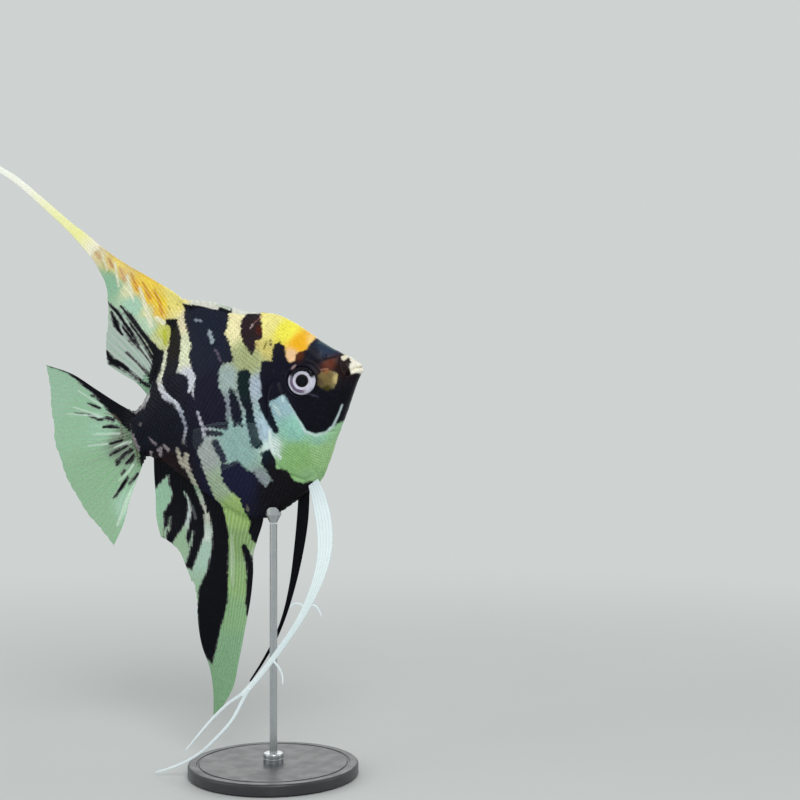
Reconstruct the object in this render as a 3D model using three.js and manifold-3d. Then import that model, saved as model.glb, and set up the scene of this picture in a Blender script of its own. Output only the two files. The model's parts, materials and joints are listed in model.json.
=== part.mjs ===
// A life-size freshwater angelfish (koi form) in a swimming pose, nose up, on a plain display stand.
// Millimetres, +Z up. The nose points to +X, the fish's left side to +Y.
// The origin is the centre of the stand's underside.
//
// The fish is drawn in its own frame: s runs back from the snout tip along the body axis,
// h is the height above that axis and y the distance to the left. One group then pitches it
// nose up and lifts it on to the rod.
import * as THREE from "three";
import { mergeVertices } from "three/addons/utils/BufferGeometryUtils.js";
import Module from "manifold-3d";

const wasm = await Module();
wasm.setup();

// ---- driving dimensions ----
const BODY_LENGTH = 80; // snout tip to the root of the tail fin
const STALK_OVERRUN = 2; // how far the rounded tail stalk runs past that root
const PITCH = THREE.MathUtils.degToRad(15.5); // nose up
const SNOUT_X = 30; // the snout tip, ahead of the rod
const SNOUT_Z = 129.2; // and above the floor
const TAIL_SWAY = -2; // sideways bend of the body at the tail root
const SWAY_FROM = 42; // where along the body the bend begins

const GAP = 0.3; // clearance that parts neighbouring solids
const WELD = 1e-4; // vertices closer than this are one
const FIN_THICK = 0.7;
const FILAMENT_THICK = 0.9;

const BASE_RADIUS = 27;
const BASE_THICK = 4;
const BASE_CHAMFER = 0.8;
const ROD_RADIUS = 1.2;
const COLLAR_RADIUS = 3.2;
const COLLAR_HEIGHT = 3;
const COLLAR_CHAMFER = 0.5;
const SADDLE_RADIUS = 2.5; // the cup that takes the belly
const SADDLE_HEIGHT = 5; // before the belly is cut out of it
const SADDLE_LOW_Z = 80;

// ---- colours and finishes ----
const finish = (color, roughness, metalness = 0) =>
  new THREE.MeshStandardMaterial({ color, roughness, metalness });
const SKIN_PALE = finish(0xb9cfc4, 0.4);
const SKIN_GOLD = finish(0xf2c53a, 0.4);
const SKIN_BLACK = finish(0x14151b, 0.4);
const LIP = finish(0xf1ead2, 0.45);
const EYE = finish(0xc9bfca, 0.15);
const FIN_GOLD = finish(0xe9cd6a, 0.45);
const FIN_CLEAR = finish(0x9cc4ae, 0.4);
const FIN_PALE = finish(0xc3d1a6, 0.45);
const FIN_BLACK = finish(0x17181e, 0.45);
const FIN_WHITE = finish(0xe4f0ee, 0.45);
const STAND_PAINT = finish(0x24262a, 0.45, 0.2);
const STAND_STEEL = finish(0xb8bbbd, 0.3, 1);

// ---- curves ----
const lerp = THREE.MathUtils.lerp;

// A smooth function of s through [s, value] pairs, with each pair's slope taken from its neighbours.
function along(pairs) {
  const last = pairs.length - 1;
  const slope = (i) => {
    const [s0, value0] = pairs[Math.max(i - 1, 0)];
    const [s1, value1] = pairs[Math.min(i + 1, last)];
    return (value1 - value0) / (s1 - s0);
  };
  return (s) => {
    const next = pairs.findIndex((pair) => pair[0] > s);
    if (next === 0) return pairs[0][1];
    if (next < 0) return pairs[last][1];
    const [s0, value0] = pairs[next - 1];
    const [s1, value1] = pairs[next];
    const t = (s - s0) / (s1 - s0);
    const eased = lerp(value0, value1, t * t * (3 - 2 * t));
    return eased + (s1 - s0) * t * (1 - t) * (slope(next - 1) * (1 - t) - slope(next) * t);
  };
}

// A spline through [s, h] points: t from 0 to 1 gives a Vector2.
function edge(points) {
  const curve = new THREE.SplineCurve(points.map(([s, h]) => new THREE.Vector2(s, h)));
  return (t) => curve.getPoint(t);
}

// ---- the body's form ----
const TOP = along([
  [0, 1.6], [3, 4.2], [6.5, 7.4], [10.5, 11.3], [16.5, 18.2], [22, 23.4], [27, 25.8],
  [33, 26.9], [38, 29.2], [43, 31.8], [48, 33.9], [52.5, 34.8], [57, 32.2], [63, 25.6],
  [69, 17.6], [74, 11], [78, 7.8], [82, 7.2],
]);
const BOTTOM = along([
  [0, -1.8], [2.4, -3.6], [5, -7], [10, -14], [14, -19], [18, -25], [22.5, -30.4], [28, -33],
  [36, -36], [43, -37.4], [49, -36], [56, -30.6], [63, -23.8], [69, -17], [74, -11],
  [78, -8], [82, -7.4],
]);
const HALF_WIDTH = along([
  [0, 1.7], [3, 2.9], [8, 4.6], [14, 6.1], [20, 7.1], [28, 8], [36, 8.1], [46, 7.3],
  [56, 5.7], [66, 4], [74, 2.9], [82, 2.2],
]);
const KEEL = along([[0, 0.8], [14, 0.95], [26, 1.2], [60, 1.3], [82, 1]]); // over 1 sharpens back and belly
const SNOUT_ROUND = 2.6; // length over which the snout closes
const STALK_ROUND = 2.4; // and the end of the tail stalk

// The body's middle plane bends aside towards the tail, and runs on straight behind its root.
function swayAt(s) {
  const bend = Math.max(s - SWAY_FROM, 0) / (BODY_LENGTH - SWAY_FROM);
  return TAIL_SWAY * (bend < 1 ? bend ** 2 : 2 * bend - 1);
}

const closing = (distance, length) => Math.sqrt(1 - (1 - Math.min(distance / length, 1)) ** 2);
const point = (s, h, y = 0) => new THREE.Vector3(-s, y, h);

// Moves every vertex of a closed geometry to place(vertex), welded so that it stays closed.
function mould(geometry, place) {
  geometry.deleteAttribute("normal");
  geometry.deleteAttribute("uv");
  const welded = mergeVertices(geometry, WELD);
  const position = welded.attributes.position;
  const vertex = new THREE.Vector3();
  for (let i = 0; i < position.count; i++) {
    vertex.fromBufferAttribute(position, i);
    const placed = place(vertex);
    position.setXYZ(i, placed.x, placed.y, placed.z);
  }
  return welded;
}

// A closed geometry as a solid that can be joined and cut. A moulding that came out
// inside out has its triangles turned round.
function solid(geometry) {
  geometry.deleteAttribute("normal");
  geometry.deleteAttribute("uv");
  const welded = mergeVertices(geometry, WELD);
  const made = new wasm.Manifold(
    new wasm.Mesh({
      numProp: 3,
      vertProperties: new Float32Array(welded.attributes.position.array),
      triVerts: new Uint32Array(welded.index.array),
    }),
  );
  if (made.volume() > 0) return made;
  const index = welded.index.array;
  for (let i = 0; i < index.length; i += 3) [index[i], index[i + 1]] = [index[i + 1], index[i]];
  return solid(welded);
}

// The whole body from snout to tail stalk, grown by a margin on every side.
function bodySolid(margin = 0, around = 22, stations = 28) {
  const length = BODY_LENGTH + STALK_OVERRUN;
  const sphere = new THREE.SphereGeometry(1, around, stations);
  return solid(
    mould(sphere, (v) => {
      const latitude = Math.acos(THREE.MathUtils.clamp(v.y, -1, 1)) / Math.PI;
      const share = lerp(latitude, 0.5 - 0.5 * v.y, 0.5); // closer rings at the two ends
      const s = share * length;
      const angle = Math.atan2(v.z, v.x);
      const ends = Math.min(closing(s, SNOUT_ROUND), closing(length - s, STALK_ROUND));
      const halfHeight = (TOP(s) - BOTTOM(s)) / 2 + margin;
      const h = (TOP(s) + BOTTOM(s)) / 2 + halfHeight * ends * Math.sin(angle);
      const side = Math.abs(Math.cos(angle)) ** KEEL(s) * Math.sign(Math.cos(angle));
      const y = (HALF_WIDTH(s) + margin) * ends * side;
      return point(s + margin * (2 * share - 1), h, y + swayAt(s));
    }),
  );
}

// ---- cutters ----
// A straight-sided block over an outline in the s-h plane, from one y to another.
function block(outline, yFrom, yTo) {
  const shape = new THREE.Shape(outline.map(([s, h]) => new THREE.Vector2(-s, h)));
  const geometry = new THREE.ExtrudeGeometry(shape, { depth: yTo - yFrom, bevelEnabled: false });
  return solid(geometry.rotateX(Math.PI / 2).translate(0, yTo, 0));
}

// A thin upright blade along a line of [s, h] points, which parts the body where it passes.
function blade(line, yFrom = -20, yTo = 20) {
  const run = edge(line);
  const steps = line.length > 2 ? line.length * 2 : 1;
  const side = (offset) =>
    Array.from({ length: steps + 1 }, (_, i) => {
      const t = i / steps;
      const here = run(t);
      const ahead = run(Math.min(t + 0.01, 1)).sub(run(Math.max(t - 0.01, 0))).normalize();
      return [here.x - ahead.y * offset, here.y + ahead.x * offset];
    });
  return block([...side(GAP / 2), ...side(-GAP / 2).reverse()], yFrom, yTo);
}

function ellipsoid(centre, radii, segments = 20) {
  const ball = new THREE.SphereGeometry(1, segments, segments / 2).scale(...radii);
  return solid(ball.translate(centre.x, centre.y, centre.z));
}

const largest = (made) =>
  made.decompose().reduce((best, piece) => (piece.volume() > best.volume() ? piece : best));

// The piece of a parted solid that a thin rod across the fish at [s, h] runs through.
function pieceAt(pieces, [s, h]) {
  const probe = ellipsoid(point(s, h), [0.3, 25, 0.3], 8);
  return pieces.reduce((best, piece) =>
    piece.intersect(probe).volume() > best.intersect(probe).volume() ? piece : best,
  );
}

// ---- head ----
const EYE_S = 18.4;
const EYE_H = 0.6;
const EYE_Y = 5.2;
const EYE_RADIUS = 4.5;
const EYE_DEPTH = 2.7;
const EYE_TURN = THREE.MathUtils.degToRad(9); // the eyes look a little forwards

function eyeball(sideSign, margin = 0) {
  const radius = EYE_RADIUS + margin;
  const ball = new THREE.SphereGeometry(1, 16, 10).scale(radius, EYE_DEPTH + margin, radius);
  ball.rotateZ(-sideSign * EYE_TURN);
  return solid(ball.translate(-EYE_S, sideSign * EYE_Y, EYE_H));
}

const GILL_COVER = [
  [25.4, 2], [28.6, 2.2], [31, -2], [31.6, -8], [33.8, -13.5], [33.8, -20], [31.2, -25.6],
  [26.4, -29], [21.8, -27.2], [18, -21.8], [13.6, -17.2], [18.6, -17.2], [21.8, -14], [24, -8],
];
const GILL_COVER_THICK = 1; // into the body
const GILL_COVER_PROUD = 0.3; // and out of it
const GILL_SMOOTH_STEPS = 2; // outline points between named ones

// The gill cover's outline as a closed spline, moved outwards by a margin.
function gillOutline(margin = 0) {
  const run = edge([...GILL_COVER, GILL_COVER[0]]);
  const count = GILL_COVER.length * GILL_SMOOTH_STEPS;
  const at = (i) => run(((i + count) % count) / count);
  return Array.from({ length: count }, (_, i) => {
    const ahead = at(i + 1).sub(at(i - 1)).normalize();
    return at(i).add(new THREE.Vector2(-ahead.y, ahead.x).multiplyScalar(margin)).toArray();
  });
}

const GILL_LINE = [[25, 27], [26.6, 14], [29.4, 4], [32.2, -4], [35, -13], [35.2, -21], [31, -28], [24, -35]];
const MOUTH_LINE = [[-2, 0.2], [1.5, 0.1], [4.4, -0.5]];
const LIP_FOLD = [[4.4, -0.5], [4.6, 2.4], [3.8, 6.4]];
const JAW_LINE = [[4.4, -0.5], [6.8, -3.8], [8.4, -7.6], [7, -12]];
const TRUNK_CUT = [[57, 38], [57, -38]];
const STALK_CUT = [[74, 16], [74, -16]];

// ---- fins ----
// A fin is a thin plate over a patch between four edges: the root on the body, the leading and
// trailing rays, and the margin that joins their tips. u steps run from the leading ray to the
// trailing one and v steps from root to margin. place says where a point of the plate goes.
function finGeometry({ root, lead, trail, margin, u, v, sway = () => 0, lift = () => 0 }, place) {
  const [rootAt, leadAt, trailAt, marginAt] = [root, lead, trail, margin].map(edge);
  const patch = (a, b) => {
    const across = rootAt(a).lerp(marginAt(a), b);
    const down = leadAt(b).lerp(trailAt(b), a);
    const corners = rootAt(0).lerp(rootAt(1), a).lerp(marginAt(0).lerp(marginAt(1), a), b);
    return across.add(down).sub(corners);
  };
  return mould(new THREE.BoxGeometry(1, 1, 1, u, 1, v), (p) => {
    const [a, b] = [p.x + 0.5, p.z + 0.5];
    const flat = patch(a, b);
    return place(flat.x, flat.y + lift(a, b), sway(a, b) + p.y * FIN_THICK);
  });
}

// A fin that stands on the body's middle plane.
const medianFin = (shape) => solid(finGeometry(shape, (s, h, y) => point(s, h, swayAt(s) + y)));

// A ribbon along a line of [s, h, y, width] points, as wide as each point says.
function ribbon(line, margin = 0) {
  const steps = 2 * line.length;
  const curve = new THREE.CatmullRomCurve3(line.map(([s, h, y]) => point(s, h, y)), false, "centripetal");
  const width = along(line.map((p, i) => [i / (line.length - 1), p[3]]));
  return solid(
    mould(new THREE.BoxGeometry(1, 1, 1, 2, 1, steps), (p) => {
      const t = p.z + 0.5;
      const across = new THREE.Vector3(0, 1, 0).cross(curve.getTangent(t)).normalize();
      const lens = 1 - 2 * p.x * p.x;
      const centre = curve.getPoint(t).addScaledVector(across, p.x * (width(t) + 2 * margin));
      return centre.add(new THREE.Vector3(0, p.y * (FILAMENT_THICK * lens + 2 * margin), 0));
    }),
  );
}

const wave = (amount, halfTurns, share) => amount * Math.sin(halfTurns * Math.PI * share);
const DORSAL_SPINES = 12;
const SPINE_SCALLOP = 0.45; // how far the membrane dips between spine tips

const SPINY_DORSAL = {
  root: [[29, 24.6], [38, 27.4], [46, 31], [52.6, 33]],
  lead: [[29, 24.6], [30, 26.6]],
  trail: [[52.6, 33], [53, 37.6]],
  margin: [[30, 26.6], [35, 29], [41.3, 33], [47.5, 35.9], [53, 37.6]],
  lift: (a, b) => -b * SPINE_SCALLOP * Math.abs(Math.sin(DORSAL_SPINES * Math.PI * a)),
  u: 2 * DORSAL_SPINES,
  v: 1,
};
const SOFT_DORSAL = {
  root: [[53.4, 33], [58.6, 28.6], [66, 20], [73.6, 10]],
  lead: [[53.4, 33], [53.6, 38.6], [60, 45.6], [68.6, 54], [77.1, 63.5]],
  trail: [[73.6, 10], [76.2, 16], [80.4, 20.6], [84.3, 25]],
  margin: [
    [77.1, 63.5], [81.2, 61.2], [79.4, 57.4], [78.3, 51.6], [79, 44.4], [81.2, 37], [83.6, 30.4],
    [84.3, 25],
  ],
  sway: (a, b) => wave(0.9, 1.6, b) * (1 - a * 0.5),
  u: 9,
  v: 11,
};
const DORSAL_STREAMER = [
  [78.6, 61.4, 5.6], [82.2, 67.4, 4.2], [86.4, 73.7, 2.8], [93.5, 84.2, 2.4], [100.2, 93.6, 2.2],
  [106.8, 100.6, 2], [113.6, 107.2, 1.5], [120.5, 113.6, 0.8],
].map(([s, h, width]) => [s, h, swayAt(s), width]);
const SPINE_CUT = [[53.2, 30], [53.2, 40]];

const ANAL = {
  root: [[44.8, -35.4], [53, -30.4], [63, -21.6], [70.4, -13.6], [76.6, -7]],
  lead: [
    [44.8, -35.4], [46, -38.6], [49.4, -43.4], [52, -47.6], [53.8, -53.7], [56.6, -61.2],
    [60.9, -70.4], [65, -79], [69.4, -87.4], [78, -95.6],
  ],
  trail: [[76.6, -7], [78.4, -14], [79.8, -21.6], [80.6, -28], [80.2, -34.6]],
  margin: [
    [78, -95.6], [76, -87], [75, -79], [75.4, -71.4], [74.4, -62], [73.6, -55], [74.6, -47],
    [75.8, -40.4], [80.2, -34.6],
  ],
  sway: (a, b) => wave(1.2, 1.4, b) + wave(0.7, 3, a) * b,
  u: 12,
  v: 12,
};
const ANAL_CUTS = [
  [[60, -20], [58.2, -31], [58.8, -42], [62.6, -55.6], [67.8, -67], [73, -78], [81, -86]],
  [[68, -10], [66.6, -24], [66.4, -36], [69.4, -47.6], [80, -60]],
];

const TAIL = {
  root: [[80, 7], [81, 3.6], [81.4, 0], [81, -3.6], [80, -7]],
  lead: [[80, 7], [84, 11.4], [90.4, 18.2], [97, 25.2], [104.8, 30.4]],
  trail: [[80, -7], [83.4, -13.4], [88.4, -20.6], [92, -27], [97, -33.2]],
  margin: [[104.8, 30.4], [106.8, 18.6], [108, 6], [107, -8], [103.4, -21], [97, -33.2]],
  sway: (a, b) => -b * b + wave(0.8, 3, a) * b,
  u: 12,
  v: 5,
};
const TAIL_CUTS = [
  [[80, 2.2], [112, 13]],
  [[80, -2.2], [110, -15]],
];

const PELVIC_RIGHT = [
  [24.6, -30.6, -2.6, 3.4], [22.4, -38, -4.4, 5], [21.8, -46, -6.4, 5.4], [24.2, -54.6, -8, 4.6],
  [29.4, -62, -9, 3.2], [37.4, -70.6, -9.4, 2.3], [46.4, -78, -9.4, 2], [55.4, -84.6, -9.6, 1.8],
  [62.6, -89.2, -10, 2.4],
];
const STRAND_UPPER = [
  [63, -88.9, -10, 1.1], [68.6, -90.9, -9.4, 1], [76, -95, -9.6, 0.9], [85.6, -101.8, -11, 0.8],
];
const STRAND_LOWER = [
  [62.8, -90.8, -10, 1.1], [67.6, -96, -11.4, 1], [74, -100.2, -12.4, 1], [80.4, -103.4, -12.8, 0.9],
  [88.2, -105.4, -12.8, 0.9], [97, -106.2, -13, 0.7],
];
const PELVIC_LEFT = [
  [28.6, -30.6, 2.6, 3], [33, -36.6, 4.4, 3.2], [36.2, -45, 6.4, 3], [40.6, -54, 7.6, 2.2],
  [46, -63, 8.4, 1.4], [53, -71.6, 8.8, 1.1], [61.4, -80.6, 9, 1], [68.4, -87.4, 9, 0.8],
];
const PELVIC_RIGHT_CUT = [[28, -66.6], [36, -63.4]];
const PELVIC_LEFT_CUT = [[38, -56.2], [46, -55.4]];

// A pectoral fin stands out from the flank just behind the gill cover.
const PECTORAL_S = 35.4;
const PECTORAL_H = -11;
const PECTORAL_SPREAD = THREE.MathUtils.degToRad(20);
const PECTORAL = {
  root: [[0, 2], [0.4, 0], [0.2, -2.2]],
  lead: [[0, 2], [7, 4.8], [14, 6.2], [20.6, 5.6]],
  trail: [[0.2, -2.2], [5, -5.6], [10, -8], [14.4, -8.8]],
  margin: [[20.6, 5.6], [21.6, 1.4], [19.6, -4.6], [14.4, -8.8]],
  sway: (a, b) => wave(0.5, 1, a) * b,
  u: 6,
  v: 4,
};

function pectoral(sideSign) {
  const flat = finGeometry(PECTORAL, (s, h, y) => {
    const out = HALF_WIDTH(PECTORAL_S) - GAP + s * Math.sin(PECTORAL_SPREAD) + y;
    return point(PECTORAL_S + s * Math.cos(PECTORAL_SPREAD), PECTORAL_H + h, sideSign * out);
  });
  return solid(flat);
}

// ---- assembly ----
const fish = new THREE.Group();
fish.rotation.y = -PITCH;
fish.position.set(SNOUT_X, 0, SNOUT_Z);
const root = new THREE.Group();
root.add(fish);

function meshOf(name, made, material) {
  const { vertProperties, triVerts } = made.getMesh();
  const geometry = new THREE.BufferGeometry();
  geometry.setAttribute("position", new THREE.BufferAttribute(vertProperties, 3));
  geometry.setIndex(new THREE.BufferAttribute(triVerts, 1));
  geometry.computeVertexNormals();
  const mesh = new THREE.Mesh(geometry, material.clone());
  mesh.name = name;
  return mesh;
}

const grownBody = bodySolid(GAP);

// Head, gill covers, jaws, trunk and tail stalk: the body parted by thin cuts.
function addBody() {
  const coverFloor = bodySolid(-GILL_COVER_THICK);
  const recessFloor = bodySolid(-GILL_COVER_THICK - GAP);
  const coverFace = bodySolid(GILL_COVER_PROUD);
  let rest = bodySolid();
  for (const [name, sideSign] of [["right", -1], ["left", 1]]) {
    const [near, far] = sideSign < 0 ? [-20, -2] : [2, 20];
    const cover = coverFace.subtract(coverFloor).intersect(block(gillOutline(), near, far));
    fish.add(meshOf(`gill_cover_${name}`, largest(cover), SKIN_PALE));
    rest = rest.subtract(block(gillOutline(GAP), near, far).subtract(recessFloor));
    rest = rest.subtract(eyeball(sideSign, GAP));
    fish.add(meshOf(`eye_${name}`, eyeball(sideSign), EYE));
  }
  for (const line of [GILL_LINE, MOUTH_LINE, LIP_FOLD, JAW_LINE, TRUNK_CUT, STALK_CUT])
    rest = rest.subtract(blade(line));
  const pieces = rest.decompose();
  const parts = [
    ["upper_lip", [2.4, 2], LIP],
    ["lower_jaw", [4, -3.6], LIP],
    ["head", [14, 8], SKIN_BLACK],
    ["trunk_front", [45, 0], SKIN_BLACK],
    ["trunk_rear", [65, 0], SKIN_BLACK],
    ["tail_stalk", [78, 0], SKIN_BLACK],
  ];
  for (const [name, seed, material] of parts) fish.add(meshOf(name, pieceAt(pieces, seed), material));
}

// Frees a fin from the body, parts it by blades and names the pieces by their seeds.
function addFin(made, cuts, parts) {
  const clear = made.subtract(grownBody);
  const pieces = cuts.reduce((whole, line) => whole.subtract(blade(line)), clear).decompose();
  for (const [name, seed, material] of parts) fish.add(meshOf(name, pieceAt(pieces, seed), material));
}

function addMedianFins() {
  addFin(medianFin(SPINY_DORSAL), [SPINE_CUT], [["dorsal_spines", [44, 34], FIN_BLACK]]);
  const soft = medianFin(SOFT_DORSAL).subtract(ribbon(DORSAL_STREAMER, GAP));
  addFin(soft, [SPINE_CUT], [["dorsal_fin", [72, 45], FIN_GOLD]]);
  fish.add(meshOf("dorsal_streamer", ribbon(DORSAL_STREAMER), FIN_GOLD));
  addFin(medianFin(ANAL), ANAL_CUTS, [
    ["anal_fin_front", [57, -48], FIN_PALE],
    ["anal_fin_middle", [68, -58], FIN_BLACK],
    ["anal_fin_rear", [76, -30], FIN_CLEAR],
  ]);
  addFin(medianFin(TAIL), TAIL_CUTS, [
    ["tail_fin_upper", [98, 20], FIN_CLEAR],
    ["tail_fin_middle", [100, 0], FIN_CLEAR],
    ["tail_fin_lower", [94, -20], FIN_CLEAR],
  ]);
}

function addPairedFins() {
  addFin(ribbon(PELVIC_RIGHT), [PELVIC_RIGHT_CUT], [
    ["pelvic_fin_right", [22, -46], FIN_WHITE],
    ["pelvic_streamer_right", [46.4, -78], FIN_WHITE],
  ]);
  addFin(ribbon(PELVIC_LEFT), [PELVIC_LEFT_CUT], [
    ["pelvic_fin_left", [36.2, -45], FIN_BLACK],
    ["pelvic_streamer_left", [53, -71.6], FIN_BLACK],
  ]);
  const streamer = ribbon(PELVIC_RIGHT, GAP);
  for (const [name, line] of [["pelvic_strand_upper", STRAND_UPPER], ["pelvic_strand_lower", STRAND_LOWER]])
    fish.add(meshOf(name, largest(ribbon(line).subtract(streamer)), FIN_WHITE));
  for (const [name, sideSign] of [["right", -1], ["left", 1]])
    fish.add(meshOf(`pectoral_fin_${name}`, largest(pectoral(sideSign).subtract(grownBody)), FIN_CLEAR));
}

// A solid turned about the vertical, from [radius, height] points that start and end on the axis.
function turned(profile, segments) {
  const points = profile.map(([radius, height]) => new THREE.Vector2(radius, height));
  return new THREE.LatheGeometry(points, segments).rotateX(Math.PI / 2);
}

function addStand() {
  const base = turned([
    [0, 0], [BASE_RADIUS, 0], [BASE_RADIUS, BASE_THICK - BASE_CHAMFER],
    [BASE_RADIUS - BASE_CHAMFER, BASE_THICK], [0, BASE_THICK],
  ], 48);
  const bore = ROD_RADIUS + GAP;
  const collarTop = BASE_THICK + COLLAR_HEIGHT;
  const collar = turned([
    [bore, BASE_THICK], [COLLAR_RADIUS, BASE_THICK], [COLLAR_RADIUS, collarTop - COLLAR_CHAMFER],
    [COLLAR_RADIUS - COLLAR_CHAMFER, collarTop], [bore, collarTop], [bore, BASE_THICK],
  ], 24);
  const rodTop = SADDLE_LOW_Z - GAP;
  const rod = turned([[0, BASE_THICK], [ROD_RADIUS, BASE_THICK], [ROD_RADIUS, rodTop], [0, rodTop]], 20);
  root.add(meshOf("stand_base", solid(base), STAND_PAINT));
  root.add(meshOf("stand_collar", solid(collar), STAND_STEEL));
  root.add(meshOf("stand_rod", solid(rod), STAND_STEEL));

  // The saddle is cut to the belly, so it is made in the fish's own frame.
  const saddle = turned([
    [0, SADDLE_LOW_Z], [ROD_RADIUS, SADDLE_LOW_Z], [SADDLE_RADIUS, SADDLE_LOW_Z + SADDLE_HEIGHT / 2],
    [SADDLE_RADIUS, SADDLE_LOW_Z + SADDLE_HEIGHT], [0, SADDLE_LOW_Z + SADDLE_HEIGHT],
  ], 24);
  fish.updateMatrix();
  saddle.applyMatrix4(fish.matrix.clone().invert());
  fish.add(meshOf("stand_saddle", largest(solid(saddle).subtract(grownBody)), STAND_STEEL));
}

addBody();
addMedianFins();
addPairedFins();
addStand();

export default root;
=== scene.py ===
"""A life-size freshwater angelfish in koi colours, swimming nose up on a plain rod stand.

The fish is drawn in its own axes, in millimetres: s runs back from the snout tip along the body,
h is the height above that axis and y the distance to the fish's left. FishFrame takes them to the
shared frame, in metres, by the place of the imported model's eyes.
"""

import functools
import json
import logging
import math
from dataclasses import dataclass, field
from enum import Enum
from typing import Callable, Sequence

import bmesh
import bpy
import numpy as np
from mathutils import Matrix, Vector

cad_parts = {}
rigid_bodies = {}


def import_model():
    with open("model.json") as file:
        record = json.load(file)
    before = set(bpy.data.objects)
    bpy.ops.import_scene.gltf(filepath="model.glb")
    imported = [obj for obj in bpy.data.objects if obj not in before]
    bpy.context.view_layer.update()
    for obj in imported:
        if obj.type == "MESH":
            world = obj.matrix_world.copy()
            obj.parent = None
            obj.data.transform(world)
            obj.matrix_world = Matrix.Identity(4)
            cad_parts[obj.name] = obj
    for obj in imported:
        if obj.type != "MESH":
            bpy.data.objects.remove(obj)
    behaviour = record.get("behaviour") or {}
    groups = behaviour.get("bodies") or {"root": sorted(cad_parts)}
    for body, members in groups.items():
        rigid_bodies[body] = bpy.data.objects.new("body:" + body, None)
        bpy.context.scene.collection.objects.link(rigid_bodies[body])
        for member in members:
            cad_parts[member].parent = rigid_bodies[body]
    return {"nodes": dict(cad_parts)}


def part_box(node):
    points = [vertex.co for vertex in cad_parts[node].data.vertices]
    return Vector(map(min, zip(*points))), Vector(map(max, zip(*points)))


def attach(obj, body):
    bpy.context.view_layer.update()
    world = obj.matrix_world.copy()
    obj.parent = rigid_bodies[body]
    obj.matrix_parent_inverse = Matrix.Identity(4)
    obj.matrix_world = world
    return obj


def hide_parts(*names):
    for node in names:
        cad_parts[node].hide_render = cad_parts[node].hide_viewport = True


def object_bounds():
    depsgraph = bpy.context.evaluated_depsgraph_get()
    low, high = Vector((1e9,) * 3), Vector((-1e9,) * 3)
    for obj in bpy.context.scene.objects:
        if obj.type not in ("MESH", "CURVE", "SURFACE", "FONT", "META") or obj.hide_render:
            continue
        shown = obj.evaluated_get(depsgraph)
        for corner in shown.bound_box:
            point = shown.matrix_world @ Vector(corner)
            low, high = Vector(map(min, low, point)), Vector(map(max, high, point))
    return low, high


for leftover in list(bpy.data.objects):
    bpy.data.objects.remove(leftover)
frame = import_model()
CAD_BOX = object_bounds()

LOG = logging.getLogger("angelfish")
Array = np.ndarray
Pairs = Sequence[Sequence[float]]
Colour = tuple[int, int, int]
Mesh = bpy.types.Mesh
Material = bpy.types.Material
Socket = bpy.types.NodeSocket
MM = 0.001


# ---- numbers and curves ----
def smooth(low: float, high: float, value: Array) -> Array:
    """Eases from 0 at low to 1 at high."""
    t = np.clip((np.asarray(value, float) - low) / (high - low), 0, 1)
    return t * t * (3 - 2 * t)


def hump(distance: Array, width: float) -> Array:
    """A soft bump: 1 where the distance is 0, nearly 0 past twice the width."""
    return np.exp(-((distance / width) ** 2))


def linear(colour: Colour) -> Array:
    """A colour written as 0-255 screen values, as the shader's linear values."""
    c = np.array(colour, float) / 255
    return np.where(c > 0.04045, ((c + 0.055) / 1.055) ** 2.4, c / 12.92)


def unit(vectors: Array) -> Array:
    """Each row's direction."""
    return vectors / np.linalg.norm(vectors, axis=-1, keepdims=True)


class Along:
    """A smooth function of s through [s, value] pairs, each slope taken from its neighbours."""

    def __init__(self, pairs: Pairs) -> None:
        """Takes the pairs.

        Args:
            pairs: In rising order of s.
        """
        self.at, self.value = np.array(pairs, float).T
        at, value = (np.pad(numbers, 1, mode="edge") for numbers in (self.at, self.value))
        self.slope = (value[2:] - value[:-2]) / (at[2:] - at[:-2])

    def __call__(self, s: Array) -> Array:
        """Reads the function.

        Args:
            s: Where to read it.

        Returns:
            Its values there, held constant past both ends.
        """
        s = np.clip(np.asarray(s, float), self.at[0], self.at[-1])
        i = np.clip(np.searchsorted(self.at, s, side="right") - 1, 0, len(self.at) - 2)
        width = self.at[i + 1] - self.at[i]
        t = (s - self.at[i]) / width
        eased = self.value[i] + (self.value[i + 1] - self.value[i]) * t * t * (3 - 2 * t)
        return eased + width * t * (1 - t) * (self.slope[i] * (1 - t) - self.slope[i + 1] * t)


class Spline:
    """A Catmull-Rom curve through points of any dimension, for t from 0 to 1."""

    def __init__(self, points: Pairs, even: bool = False) -> None:
        """Takes the points.

        Args:
            points: What the curve passes through.
            even: Whether equal steps of t are equal lengths.
        """
        self.points = np.array(points, float)
        self.even: tuple[Array, Array] | None = None
        if even:
            t = np.linspace(0, 1, 400)
            run = np.linalg.norm(np.diff(self(t), axis=0), axis=1)
            length = np.concatenate([[0], np.cumsum(run)])
            self.even = (length / length[-1], t)

    def __call__(self, t: Array) -> Array:
        """Reads the curve.

        Args:
            t: Shares of the way along it.

        Returns:
            One row for each point.
        """
        t = np.clip(np.asarray(t, float), 0, 1)
        if self.even is not None:
            t = np.interp(t, *self.even)
        last = len(self.points) - 1
        i = np.minimum((t * last).astype(int), last - 1)
        w = (t * last - i)[..., None]
        p0, p1, p2, p3 = (self.points[np.clip(i + k, 0, last)] for k in (-1, 0, 1, 2))
        v1, v2 = (p2 - p0) / 2, (p3 - p1) / 2
        cubic = (2 * p1 - 2 * p2 + v1 + v2) * w**3 + (-3 * p1 + 3 * p2 - 2 * v1 - v2) * w**2
        return cubic + v1 * w + p1

    def tangent(self, t: Array) -> Array:
        """The unit direction of travel at t."""
        return unit(self(np.minimum(t + 0.005, 1)) - self(np.maximum(t - 0.005, 0)))


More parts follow.
